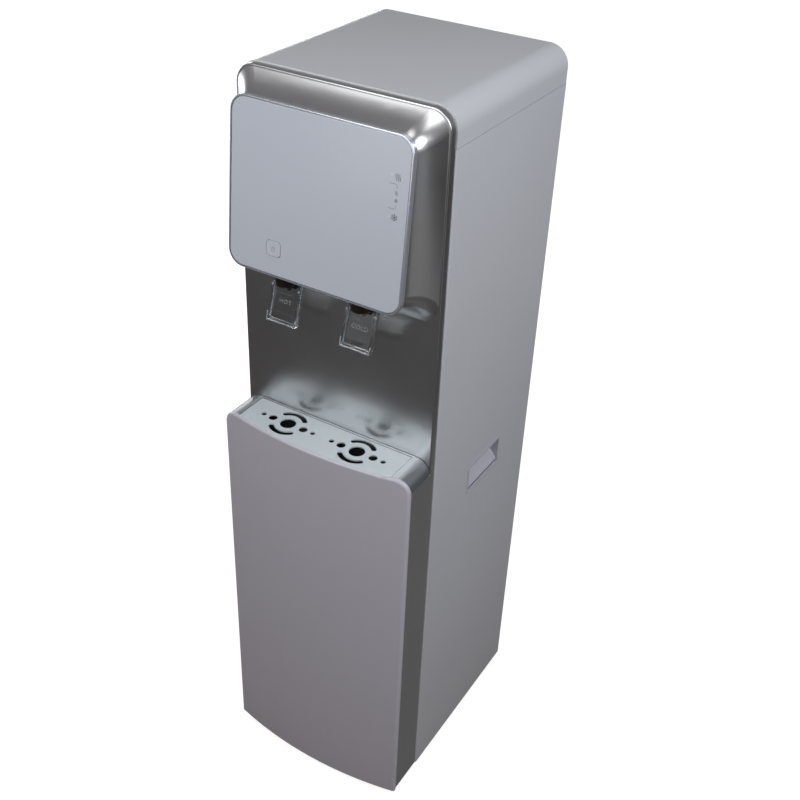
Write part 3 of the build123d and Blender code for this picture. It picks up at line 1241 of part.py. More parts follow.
# Evaporator band round the cold tank, with its two ends led out through the jacket
with BuildPart() as evaporator:
    with BuildSketch(Plane.XY.offset(Z_EVAPORATOR - EVAPORATOR_HEIGHT / 2)):
        with Locations((0, TANK_Y)):
            Circle(COLD_RADIUS + EVAPORATOR)
    extrude(amount=EVAPORATOR_HEIGHT)
    band_plane = Plane(origin=(-EVAPORATOR_END, TANK_Y, Z_EVAPORATOR), x_dir=(0, 1, 0), z_dir=(1, 0, 0))
    with BuildSketch(band_plane):
        Circle(PIPE_RADIUS)
    extrude(amount=2 * EVAPORATOR_END)
    with BuildSketch(Plane.XY.offset(Z_EVAPORATOR - EVAPORATOR_HEIGHT / 2)):
        with Locations((0, TANK_Y)):
            Circle(COLD_RADIUS + JACKET_PLAY)
    extrude(amount=EVAPORATOR_HEIGHT, mode=Mode.SUBTRACT)
save(evaporator, "evaporator")

with BuildPart() as cold_jacket:
    with BuildSketch(Plane.XY.offset(Z_UPPER)):
        with Locations((0, TANK_Y)):
            RectangleRounded(2 * JACKET_X, 2 * JACKET_Y, JACKET_RADIUS)
    extrude(amount=JACKET_WALL + COLD_HEIGHT)
    with BuildSketch(Plane.XY.offset(Z_COLD)):
        with Locations((0, TANK_Y)):
            Circle(COLD_RADIUS + EVAPORATOR + JACKET_PLAY)
    extrude(amount=COLD_HEIGHT, mode=Mode.SUBTRACT)
    with BuildSketch(upright(TAP_X["cold"], TANK_Y, Z_COLD_OUT)):
        Circle(SPIGOT_RADIUS + JACKET_PLAY)
    extrude(amount=2 * JACKET_Y, mode=Mode.SUBTRACT)
    with BuildSketch(Plane(origin=(-BODY_WIDTH, TANK_Y, Z_EVAPORATOR), x_dir=(0, 1, 0), z_dir=(1, 0, 0))):
        Circle(PIPE_RADIUS + JACKET_PLAY)
    extrude(amount=2 * BODY_WIDTH, mode=Mode.SUBTRACT)
save(cold_jacket, "cold_jacket")

with BuildPart() as cold_jacket_lid:
    with BuildSketch(Plane.XY.offset(Z_LID)):
        with Locations((0, TANK_Y)):
            RectangleRounded(2 * JACKET_X, 2 * JACKET_Y, JACKET_RADIUS)
    extrude(amount=LID_HEIGHT)
    fillet(cold_jacket_lid.faces().sort_by(Axis.Z)[-1].edges(), JACKET_RADIUS / 3)
save(cold_jacket_lid, "cold_jacket_lid")

# Hot tank with its outlet to the hot tap and its drain through the shelf
with BuildPart() as hot_tank:
    with Locations((HOT_X, TANK_Y, Z_HOT)):
        Cylinder(HOT_RADIUS, HOT_HEIGHT, align=(Align.CENTER, Align.CENTER, Align.MIN))
    fillet(hot_tank.edges().filter_by(GeomType.CIRCLE), HOT_CROWN)
    with BuildSketch(upright(TAP_X["hot"], TANK_Y, Z_HOT_OUT)):
        Circle(SPIGOT_RADIUS)
    extrude(amount=TANK_Y - HOT_SPIGOT_END)
    with Locations((HOT_X, TANK_Y, Z_HOT + HOT_CROWN)):
        Cylinder(
            SPIGOT_RADIUS, Z_HOT + HOT_CROWN - Z_HOT_DRAIN, align=(Align.CENTER, Align.CENTER, Align.MAX)
        )
save(hot_tank, "hot_tank")

with BuildPart() as heater_band:
    with BuildSketch(Plane.XY.offset(Z_HOT + HOT_CROWN)):
        with Locations((HOT_X, TANK_Y)):
            Circle(HOT_RADIUS + HEATER_BAND)
            Circle(HOT_RADIUS + SEAT_GAP, mode=Mode.SUBTRACT)
    extrude(amount=HEATER_HEIGHT)
save(heater_band, "heater_band")

with BuildPart() as thermostats:
    with Locations((HOT_X, TANK_Y, Z_HOT + HOT_HEIGHT)):
        with GridLocations(3 * THERMOSTAT_RADIUS, 0, 2, 1):
            Cylinder(THERMOSTAT_RADIUS, THERMOSTAT_HEIGHT, align=(Align.CENTER, Align.CENTER, Align.MIN))
save(thermostats, "thermostats")

# Hot jacket: two halves split across the middle
with BuildPart() as hot_jacket:
    with BuildSketch(Plane.XY.offset(Z_LOWER)):
        with Locations((HOT_X, TANK_Y)):
            Circle(HOT_JACKET)
    extrude(amount=HOT_JACKET_HEIGHT)
    with BuildSketch(Plane.XY.offset(Z_HOT)):
        with Locations((HOT_X, TANK_Y)):
            Circle(HOT_RADIUS + HEATER_BAND + JACKET_PLAY)
    extrude(amount=HOT_HEIGHT + THERMOSTAT_HEIGHT + JACKET_PLAY, mode=Mode.SUBTRACT)
    with BuildSketch(upright(TAP_X["hot"], TANK_Y, Z_HOT_OUT)):
        Circle(SPIGOT_RADIUS + JACKET_PLAY)
    extrude(amount=2 * HOT_JACKET, mode=Mode.SUBTRACT)
    with BuildSketch(Plane.XY.offset(Z_LOWER)):
        with Locations((HOT_X, TANK_Y)):
            Circle(SPIGOT_RADIUS + JACKET_PLAY)
    extrude(amount=HOT_WALL, mode=Mode.SUBTRACT)
    split(bisect_by=Plane.YZ.offset(HOT_X), keep=Keep.BOTH)
save(hot_jacket, "hot_jacket")

# Water tubes
with BuildPart() as cold_water_tube:
    add(
        round_pipe(
            [
                (TAP_X["cold"], TAIL_END, TAIL_Z),
                (TAP_X["cold"], Y_TUBE, TAIL_Z),
                (TAP_X["cold"], Y_TUBE, Z_COLD_OUT),
                (TAP_X["cold"], SPIGOT_END, Z_COLD_OUT),
            ],
            TUBE_RADIUS,
            TUBE_BEND,
        )
    )
save(cold_water_tube, "cold_water_tube")

with BuildPart() as hot_water_tube:
    add(
        round_pipe(
            [
                (TAP_X["hot"], TAIL_END, TAIL_Z),
                (TAP_X["hot"], Y_TUBE, TAIL_Z),
                (TAP_X["hot"], Y_TUBE, Z_HOT_OUT),
                (TAP_X["hot"], HOT_SPIGOT_END, Z_HOT_OUT),
            ],
            TUBE_RADIUS,
            TUBE_BEND,
        )
    )
save(hot_water_tube, "hot_water_tube")

with BuildPart() as drain_tube:
    add(
        round_pipe(
            [
                (0, DRAIN_INSIDE, Z_DRAIN),
                (0, DRAIN_RISER, Z_DRAIN),
                (0, DRAIN_RISER, Z_DRAIN_RUN),
                (HOT_X, DRAIN_RISER, Z_DRAIN_RUN),
                (HOT_X, TANK_Y, Z_DRAIN_RUN),
                (HOT_X, TANK_Y, Z_HOT_DRAIN),
            ],
            TUBE_RADIUS,
            TUBE_BEND,
        )
    )
save(drain_tube, "drain_tube")

with BuildPart() as inlet_tube:
    add(
        round_pipe(
            [
                (-SERVICE_X, VALVE_Y, Z_SERVICE + VALVE_SIZE / 2),
                (-SERVICE_X, VALVE_Y, Z_INLET_RUN),
                (-INLET_X, VALVE_Y, Z_INLET_RUN),
                (-INLET_X, VALVE_Y, Z_INLET_TOP),
                (-INLET_PORT, VALVE_Y, Z_INLET_TOP),
                (-INLET_PORT, VALVE_Y, Z_LID + LID_HEIGHT),
            ],
            TUBE_RADIUS,
            TUBE_BEND,
        )
    )
save(inlet_tube, "inlet_tube")

# Inlet fitting, inlet valve, cord gland and drain at the back
with BuildPart() as inlet_fitting:
    with BuildSketch(upright(-SERVICE_X, Y_WEB + PORT_FLANGE_DEPTH + PORT_LENGTH, Z_SERVICE)):
        Circle(PORT_RADIUS)
    extrude(amount=PORT_FLANGE_DEPTH + PORT_LENGTH + SHEET + PORT_TAIL)
    with BuildSketch(upright(-SERVICE_X, Y_WEB + PORT_FLANGE_DEPTH, Z_SERVICE)):
        RegularPolygon(PORT_FLANGE, 6)
    extrude(amount=PORT_FLANGE_DEPTH)
    with BuildSketch(upright(-SERVICE_X, Y_WEB + PORT_FLANGE_DEPTH + PORT_LENGTH, Z_SERVICE)):
        Circle(PORT_BORE)
    extrude(amount=PORT_FLANGE_DEPTH + PORT_LENGTH, mode=Mode.SUBTRACT)
save(inlet_fitting, "inlet_fitting")

with BuildPart() as inlet_valve:
    with Locations((-SERVICE_X, VALVE_Y, Z_SERVICE)):
        Box(VALVE_SIZE, VALVE_LENGTH, VALVE_SIZE)
    fillet(inlet_valve.edges().filter_by(Axis.Y), VALVE_SIZE / 6)
    with BuildSketch(Plane(origin=(-SERVICE_X, VALVE_Y, Z_SERVICE), x_dir=(0, 1, 0), z_dir=(1, 0, 0))):
        Circle(VALVE_SIZE / 2)
    extrude(amount=VALVE_SIZE)
save(inlet_valve, "inlet_valve")

with BuildPart() as cord_gland:
    with BuildSketch(upright(SERVICE_X, Y_WEB + PORT_FLANGE_DEPTH + PORT_LENGTH, Z_SERVICE)):
        Circle(GLAND_RADIUS)
    extrude(amount=PORT_FLANGE_DEPTH + PORT_LENGTH + SHEET + PORT_TAIL)
    with BuildSketch(upright(SERVICE_X, Y_WEB + PORT_FLANGE_DEPTH, Z_SERVICE)):
        Circle(PORT_FLANGE)
    extrude(amount=PORT_FLANGE_DEPTH)
    with BuildSketch(upright(SERVICE_X, Y_WEB + PORT_FLANGE_DEPTH + PORT_LENGTH, Z_SERVICE)):
        Circle(GLAND_BORE)
    extrude(amount=PORT_FLANGE_DEPTH + PORT_LENGTH + SHEET + PORT_TAIL, mode=Mode.SUBTRACT)
save(cord_gland, "cord_gland")

with BuildPart() as drain_spout:
    with BuildSketch(upright(0, Y_WEB + PORT_FLANGE_DEPTH + PORT_LENGTH, Z_DRAIN)):
        Circle(DRAIN_RADIUS)
    extrude(amount=PORT_FLANGE_DEPTH + PORT_LENGTH + Y_WEB - DRAIN_INSIDE)
    with BuildSketch(upright(0, Y_WEB + PORT_FLANGE_DEPTH, Z_DRAIN)):
        Circle(PORT_FLANGE)
    extrude(amount=PORT_FLANGE_DEPTH)
    with BuildSketch(upright(0, Y_WEB + PORT_FLANGE_DEPTH + PORT_LENGTH, Z_DRAIN)):
        Circle(DRAIN_BORE)
    extrude(amount=PORT_FLANGE_DEPTH + PORT_LENGTH, mode=Mode.SUBTRACT)
save(drain_spout, "drain_spout")

with BuildPart() as drain_cap:
    with BuildSketch(upright(0, CAP_END, Z_DRAIN)):
        Circle(DRAIN_RADIUS + CAP_GAP + CAP_WALL)
    extrude(amount=CAP_END - CAP_START)
    fillet(drain_cap.faces().sort_by(Axis.Y)[-1].edges(), CAP_WALL / 2)
    with BuildSketch(upright(0, CAP_END - CAP_WALL, Z_DRAIN)):
        Circle(DRAIN_RADIUS + CAP_GAP)
    extrude(amount=CAP_END - CAP_START, mode=Mode.SUBTRACT)
    with BuildSketch(upright(0, CAP_END, Z_DRAIN)):
        with PolarLocations(DRAIN_RADIUS + CAP_GAP + CAP_WALL, CAP_FLUTES):
            Circle(CAP_WALL / 2)
    extrude(amount=CAP_END - CAP_START, mode=Mode.SUBTRACT)
save(drain_cap, "drain_cap")

# Heating and cooling switches on the rear panel
with BuildPart() as switch_frames:
    for x in ROCKER_X.values():
        with BuildSketch(upright(x, Y_WEB + ROCKER_PROUD, Z_ROCKER)):
            RectangleRounded(ROCKER_WIDTH + 2 * ROCKER_FRAME, ROCKER_HEIGHT + 2 * ROCKER_FRAME, ROCKER_PROUD)
        extrude(amount=ROCKER_PROUD)
        with BuildSketch(upright(x, Y_WEB, Z_ROCKER)):
            Rectangle(SWITCH_BODY_WIDTH, SWITCH_BODY_HEIGHT)
        extrude(amount=ROCKER_DEPTH)
        with BuildSketch(upright(x, Y_WEB + ROCKER_PROUD, Z_ROCKER)):
            Rectangle(ROCKER_WIDTH, ROCKER_HEIGHT)
        extrude(amount=ROCKER_PROUD + ROCKER_DEPTH - ROCKER_WALL, mode=Mode.SUBTRACT)
        with Locations((x, ROCKER_AXIS_Y, Z_ROCKER)):
            Cylinder(
                PIN_RADIUS + PIN_GAP, TRUNNION_LENGTH + 2 * PIN_GAP, rotation=(0, 90, 0), mode=Mode.SUBTRACT
            )
save(switch_frames, "switch_frames")

for name, x in ROCKER_X.items():
    with BuildPart() as rocker:
        rocker_origin = (x - ROCKER_WIDTH / 2 + ROCKER_GAP, ROCKER_AXIS_Y, Z_ROCKER)
        rocker_plane = Plane(origin=rocker_origin, x_dir=(0, 1, 0), z_dir=(1, 0, 0))
        with BuildSketch(rocker_plane):
            Circle(ROCKER_SWING)
            Polygon(
                (-ROCKER_SWING, -ROCKER_SWING),
                (ROCKER_FACE + ROCKER_SWING * math.tan(2 * math.radians(ROCKER_TILT)), -ROCKER_SWING),
                (ROCKER_FACE, 0),
                (ROCKER_FACE, ROCKER_SWING),
                (-ROCKER_SWING, ROCKER_SWING),
                align=None,
                mode=Mode.INTERSECT,
            )
        extrude(amount=ROCKER_WIDTH - 2 * ROCKER_GAP)
        with Locations((x, ROCKER_AXIS_Y, Z_ROCKER)):
            Cylinder(PIN_RADIUS, TRUNNION_LENGTH, rotation=(0, 90, 0))
    save(rocker, f"{name}_switch_rocker")
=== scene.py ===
"""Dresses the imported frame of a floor-standing water cooler and sets it in a studio."""

import json
import logging
import math
from dataclasses import dataclass
from enum import Enum
from typing import Callable, Sequence

import bmesh
import bpy
from mathutils import Matrix, Vector


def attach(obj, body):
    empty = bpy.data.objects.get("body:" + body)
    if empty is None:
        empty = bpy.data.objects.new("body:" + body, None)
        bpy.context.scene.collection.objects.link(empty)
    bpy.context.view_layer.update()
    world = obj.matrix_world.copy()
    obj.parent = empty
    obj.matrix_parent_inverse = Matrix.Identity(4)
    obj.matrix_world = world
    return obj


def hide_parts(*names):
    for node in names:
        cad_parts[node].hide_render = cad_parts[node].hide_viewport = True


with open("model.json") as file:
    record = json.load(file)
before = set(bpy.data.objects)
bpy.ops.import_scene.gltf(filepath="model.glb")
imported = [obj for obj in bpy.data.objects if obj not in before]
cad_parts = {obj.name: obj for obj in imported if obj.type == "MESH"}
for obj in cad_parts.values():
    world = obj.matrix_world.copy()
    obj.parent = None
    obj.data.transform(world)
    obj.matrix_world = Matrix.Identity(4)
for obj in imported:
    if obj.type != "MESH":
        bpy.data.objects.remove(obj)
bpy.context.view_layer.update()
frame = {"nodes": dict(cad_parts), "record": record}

LOG = logging.getLogger("water_cooler")
MM = 0.001

Colour = tuple[float, float, float]
Rgba = tuple[float, float, float, float]
Point = tuple[float, float, float]
Spot = tuple[float, float]
Test = Callable[[Vector, Vector], bool]
Tree = bpy.types.NodeTree
Socket = bpy.types.NodeSocket
Value = Socket | float | Rgba

# Distance, in millimetres, at which two places count as the same
TOUCH = 0.01
# Height of a capital letter in a font of size 1
CAPITAL_SHARE = 0.7
# A Mix node's sockets for colours
MIX_FACTOR, MIX_LOW, MIX_HIGH, MIX_RESULT = 0, 6, 7, 2
WHITE: Rgba = (1.0, 1.0, 1.0, 1.0)


class Operation(Enum):
    """What a Math node does with its two values."""

    TIMES = "MULTIPLY"
    GREATER = "MAXIMUM"


class Merge(Enum):
    """How one solid is combined with another."""

    JOIN = "UNION"
    CUT = "DIFFERENCE"


class Grain(Enum):
    """How the fine structure of a surface runs, as its scale along each axis."""

    EVEN = (1.0, 1.0, 1.0)
    ALONG_Z = (1.0, 1.0, 0.03)


def linear(value: float) -> float:
    """Turns one sRGB value from 0 to 255 into a linear one."""
    share = value / 255
    return share / 12.92 if share <= 0.04045 else ((share + 0.055) / 1.055) ** 2.4


def rgba(colour: Colour, factor: float = 1.0) -> Rgba:
    """Turns an sRGB colour into a linear one with full alpha, lighter or darker by a factor."""
    return (*(min(1.0, linear(value) * factor) for value in colour), 1.0)


def feed(tree: Tree, socket: Socket, value: Value) -> None:
    """Gives an input another node's output, or a plain value.

    Args:
        tree: The node tree.
        socket: The input.
        value: The output that it is linked to, or the value it is set to.
    """
    if isinstance(value, Socket):
        tree.links.new(value, socket)
    else:
        socket.default_value = value


def calculate(tree: Tree, how: Operation, first: Value, second: Value) -> Socket:
    """Adds a Math node.

    Args:
        tree: The node tree.
        how: What it does.
        first: Its first value.
        second: Its second value.

    Returns:
        The output with the result.
    """
    node = tree.nodes.new("ShaderNodeMath")
    node.operation = how.value
    feed(tree, node.inputs[0], first)
    feed(tree, node.inputs[1], second)
    return node.outputs["Value"]


def blend(tree: Tree, factor: Value, low: Value, high: Value) -> Socket:
    """Adds a node that mixes two colours by a mask.

    Args:
        tree: The node tree.
        factor: The mask.
        low: The colour where the mask is 0.
        high: The colour where the mask is 1.

    Returns:
        The output with the mixed colour.
    """
    node = tree.nodes.new("ShaderNodeMix")
    node.data_type = "RGBA"
    for place, value in ((MIX_FACTOR, factor), (MIX_LOW, low), (MIX_HIGH, high)):
        feed(tree, node.inputs[place], value)
    return node.outputs[MIX_RESULT]


def clear_selection() -> None:
    """Leaves edit mode and deselects every object."""
    if bpy.context.active_object and bpy.context.active_object.mode != "OBJECT":
        bpy.ops.object.mode_set(mode="OBJECT")
    bpy.ops.object.select_all(action="DESELECT")


def take(thing: bpy.types.Object) -> None:
    """Makes one object the active one and the only one selected."""
    clear_selection()
    bpy.context.view_layer.objects.active = thing
    thing.select_set(True)


class Effects:
    """Shader node groups that more than one finish uses, built once each."""

    cloud_detail: float = 3.0
    fine_detail: float = 2.0
    dust_scale: float = 40.0
    dust_detail: float = 4.0

    def __init__(self) -> None:
        """Builds the groups."""
        self.grain = self._grain()
        self.settled_dust = self._settled_dust()

    @staticmethod
    def _new(name: str, inputs: dict[str, float], outputs: Sequence[str]) -> Tree:
        """Makes an empty group that takes a vector.

        Args:
            name: The group's name.
            inputs: Names of the value inputs, with their defaults.
            outputs: Names of the value outputs.

        Returns:
            The group, with its own input and output nodes.
        """
        tree = bpy.data.node_groups.new(name, "ShaderNodeTree")
        tree.interface.new_socket("Vector", in_out="INPUT", socket_type="NodeSocketVector")
        for label, value in inputs.items():
            socket = tree.interface.new_socket(label, in_out="INPUT", socket_type="NodeSocketFloat")
            socket.default_value = value
        for label in outputs:
            tree.interface.new_socket(label, in_out="OUTPUT", socket_type="NodeSocketFloat")
        tree.nodes.new("NodeGroupInput")
        tree.nodes.new("NodeGroupOutput")
        return tree

    @staticmethod
    def _noise(tree: Tree, vector: Socket, scale: Value, detail: float) -> Socket:
        """Adds a noise texture.

        Args:
            tree: The node tree.
            vector: The coordinates it reads.
            scale: Its scale.
            detail: Its detail.

        Returns:
            The output with the noise.
        """
        noise = tree.nodes.new("ShaderNodeTexNoise")
        for label, value in (("Vector", vector), ("Scale", scale), ("Detail", detail)):
            feed(tree, noise.inputs[label], value)
        return noise.outputs["Fac"]

    def _grain(self) -> Tree:
        """Builds the fine grain of paint and moulded plastic.

        Returns:
            The group, which puts out a cloudy mask and a fine height.
        """
        tree = self._new("fine_grain", {"Cloud": 9.0, "Fine": 900.0}, ("Mask", "Height"))
        given = tree.nodes["Group Input"].outputs
        result = tree.nodes["Group Output"].inputs
        cloud = self._noise(tree, given["Vector"], given["Cloud"], self.cloud_detail)
        fine = self._noise(tree, given["Vector"], given["Fine"], self.fine_detail)
        tree.links.new(cloud, result["Mask"])
        tree.links.new(fine, result["Height"])
        return tree

    def _settled_dust(self) -> Tree:
        """Builds the faint dust that settles near the floor and fades upwards.

        Returns:
            The group, which puts out the mask of the dust.
        """
        tree = self._new("settled_dust", {"Reach": 0.25}, ("Mask",))
        given = tree.nodes["Group Input"].outputs
        parts = tree.nodes.new("ShaderNodeSeparateXYZ")
        tree.links.new(given["Vector"], parts.inputs["Vector"])
        fade = tree.nodes.new("ShaderNodeMapRange")
        for label, value in (
            ("Value", parts.outputs["Z"]),
            ("From Max", given["Reach"]),
            ("To Min", 1.0),
            ("To Max", 0.0),
        ):
            feed(tree, fade.inputs[label], value)
        noise = self._noise(tree, given["Vector"], self.dust_scale, self.dust_detail)
        mask = calculate(tree, Operation.TIMES, fade.outputs["Result"], noise)
        tree.links.new(mask, tree.nodes["Group Output"].inputs["Mask"])
        return tree


DUST_TONE: Colour = (150, 146, 138)
# How far roughness strays from its value, either way
POLISH_SPREAD = 0.12
GRAIN_DEPTH = 0.2 * MM


@dataclass(frozen=True)
class Finish:
    """One procedural finish: a colour with cloudy variation, fine grain and a little dust."""

    slot: str
    colour: Colour
    roughness: float
    metallic: float = 0.0
    specular: float = 0.5
    transmission: float = 0.0
    ior: float = 1.5
    variation: float = 0.04
    cloud: float = 9.0
    fine: float = 900.0
    bump: float = 0.03
    dust: float = 0.0
    grain: Grain = Grain.EVEN

    def build(self, effects: Effects) -> bpy.types.Material:
        """Makes the material.

        Args:
            effects: The shared shader groups.

        Returns:
            The finished material.
        """
        material = bpy.data.materials.new(f"{self.slot}_finish")
        material.use_nodes = True
        tree = material.node_tree
        inputs = tree.nodes["Principled BSDF"].inputs
        inputs["Metallic"].default_value = self.metallic
        inputs["Specular IOR Level"].default_value = self.specular
        inputs["Transmission Weight"].default_value = self.transmission
        inputs["IOR"].default_value = self.ior
        place = tree.nodes.new("ShaderNodeTexCoord").outputs["Object"]
        stretch = tree.nodes.new("ShaderNodeMapping")
        stretch.inputs["Scale"].default_value = self.grain.value
        tree.links.new(place, stretch.inputs["Vector"])
        grain = self._group(tree, effects.grain, stretch.outputs["Vector"])
        grain.inputs["Cloud"].default_value = self.cloud
        grain.inputs["Fine"].default_value = self.fine
        dark = rgba(self.colour, 1 - self.variation)
        light = rgba(self.colour, 1 + self.variation)
        tint = blend(tree, grain.outputs["Mask"], dark, light)
        if self.dust:
            settled = self._group(tree, effects.settled_dust, place)
            share = calculate(tree, Operation.TIMES, settled.outputs["Mask"], self.dust)
            tint = blend(tree, share, tint, rgba(DUST_TONE))
        tree.links.new(tint, inputs["Base Color"])
        tree.links.new(self._polish(tree, grain.outputs["Mask"]), inputs["Roughness"])
        tree.links.new(self._relief(tree, grain.outputs["Height"]), inputs["Normal"])
        return material

    @staticmethod
    def _group(tree: Tree, group: Tree, vector: Socket) -> bpy.types.ShaderNode:
        """Places a shared group in a material.

        Args:
            tree: The material's node tree.
            group: The group.
            vector: The coordinates it reads.

        Returns:
            The node that holds the group.
        """
        node = tree.nodes.new("ShaderNodeGroup")
        node.node_tree = group
        tree.links.new(vector, node.inputs["Vector"])
        return node

    def _polish(self, tree: Tree, mask: Socket) -> Socket:
        """Makes the roughness, which varies a little with the cloudy mask.

        Args:
            tree: The material's node tree.
            mask: The cloudy mask.

        Returns:
            The output with the roughness.
        """
        polish = tree.nodes.new("ShaderNodeMapRange")
        polish.inputs["To Min"].default_value = self.roughness * (1 - POLISH_SPREAD)
        polish.inputs["To Max"].default_value = self.roughness * (1 + POLISH_SPREAD)
        tree.links.new(mask, polish.inputs["Value"])
        return polish.outputs["Result"]

    def _relief(self, tree: Tree, height: Socket) -> Socket:
        """Makes the relief of the fine grain.

        Args:
            tree: The material's node tree.
            height: The grain's height.

        Returns:
            The output with the normal.
        """
        relief = tree.nodes.new("ShaderNodeBump")
        relief.inputs["Strength"].default_value = self.bump
        relief.inputs["Distance"].default_value = GRAIN_DEPTH
        tree.links.new(height, relief.inputs["Height"])
        return relief.outputs["Normal"]


FINISHES = (
    Finish(
        "white_steel", (182, 184, 188), 0.45,
        specular=0.3, variation=0.015, bump=0.05, dust=0.2,
    ),
    Finish("white_moulding", (181, 180, 189), 0.36, variation=0.012, bump=0.02, dust=0.2),
    Finish("cover_white", (184, 187, 190), 0.38, variation=0.012, bump=0.02, dust=0.2),
    Finish("control_face", (185, 191, 201), 0.2, variation=0.012, bump=0.0),
    Finish("lock_key", (188, 193, 203), 0.24, variation=0.012, bump=0.0),
    Finish(
        "silver_fascia", (212, 213, 214), 0.29,
        metallic=1.0, variation=0.05, fine=2600.0, bump=0.05,
    ),
    Finish("bright_bezel", (206, 210, 218), 0.22, metallic=0.75, variation=0.02, bump=0.0),
    Finish(
        "silver_grille", (180, 189, 193), 0.42,
        metallic=0.15, variation=0.03, fine=2600.0, bump=0.05,
    ),
    Finish(
        "shelf_silver", (148, 154, 158), 0.4,
        metallic=0.88, variation=0.03, fine=2600.0, bump=0.05,
    ),
    Finish("tray_grey", (44, 45, 47), 0.5, variation=0.08),
    Finish(
        "clear_lever", (236, 240, 242), 0.04,
        transmission=1.0, ior=1.25, variation=0.01, bump=0.0,
    ),
    # Pale, half clear finish of the painted highlights on the levers' lip and wings
    Finish("lever_painted_glint", (204, 207, 210), 0.16, transmission=0.6, variation=0.02, bump=0.0),
    Finish("lever_word", (182, 184, 188), 0.3, transmission=0.5, variation=0.02, bump=0.0),
    # Grey of the print, also used for the painted shade of the gap round the lock key
    Finish("panel_print", (86, 90, 98), 0.5, variation=0.06, bump=0.0),
    Finish("tap_black", (30, 20, 14), 0.35, variation=0.1),
    Finish("indicator", (198, 204, 214), 0.2, variation=0.05, bump=0.0),
    Finish(
        "zinc_steel", (150, 153, 156), 0.42,
        metallic=0.9, variation=0.14, cloud=60.0, bump=0.04,
    ),
    Finish("screw_steel", (172, 172, 174), 0.28, metallic=1.0, variation=0.05),
    Finish("black_enamel", (24, 24, 25), 0.35, variation=0.12, bump=0.05, dust=0.3),
    Finish("black_plastic", (30, 30, 31), 0.5, variation=0.08, bump=0.1),
    Finish("rubber_black", (26, 26, 26), 0.75, variation=0.1, bump=0.15, dust=0.4),
    Finish("copper", (186, 116, 82), 0.32, metallic=1.0, variation=0.15, cloud=30.0),
    Finish("stainless", (178, 179, 181), 0.3, metallic=1.0, variation=0.06, grain=Grain.ALONG_Z),
    Finish("foam", (226, 225, 220), 0.9, variation=0.05, fine=300.0, bump=0.4),
    Finish("tube", (206, 205, 200), 0.45, variation=0.04),
    Finish("fitting_grey", (140, 142, 146), 0.45, variation=0.05, bump=0.06),
    Finish("board", (28, 92, 58), 0.4, variation=0.12, cloud=120.0),
    Finish("rocker_red", (158, 24, 22), 0.25, variation=0.04),
    Finish("rocker_green", (28, 118, 46), 0.25, variation=0.04),
)

# Nodes whose finish differs from that of the rest of their slot
FINISHED_APART = {"drip_shelf": "shelf_silver", "top_cover": "cover_white"}


class Wardrobe:
    """Holds the built finishes by their slot names and puts them on objects."""

    def __init__(self) -> None:
        """Builds every finish once."""
        effects = Effects()
        self.materials = {finish.slot: finish.build(effects) for finish in FINISHES}

    def dress(self, thing: bpy.types.Object, slot: str) -> None:
        """Puts one finish all over an object."""
        thing.data.materials.clear()
        thing.data.materials.append(self.materials[slot])

    def dress_frame(self) -> list[bpy.types.Object]:
        """Gives every node of the frame its finish.

        Returns:
            The nodes.
        """
        slots = {part["node"]: part["material_slot"] for part in frame["record"]["subparts"]}
        slots.update(FINISHED_APART)
        for name, node in frame["nodes"].items():
            for place in node.material_slots:
                place.material = self.materials[slots[name]]
        return list(frame["nodes"].values())


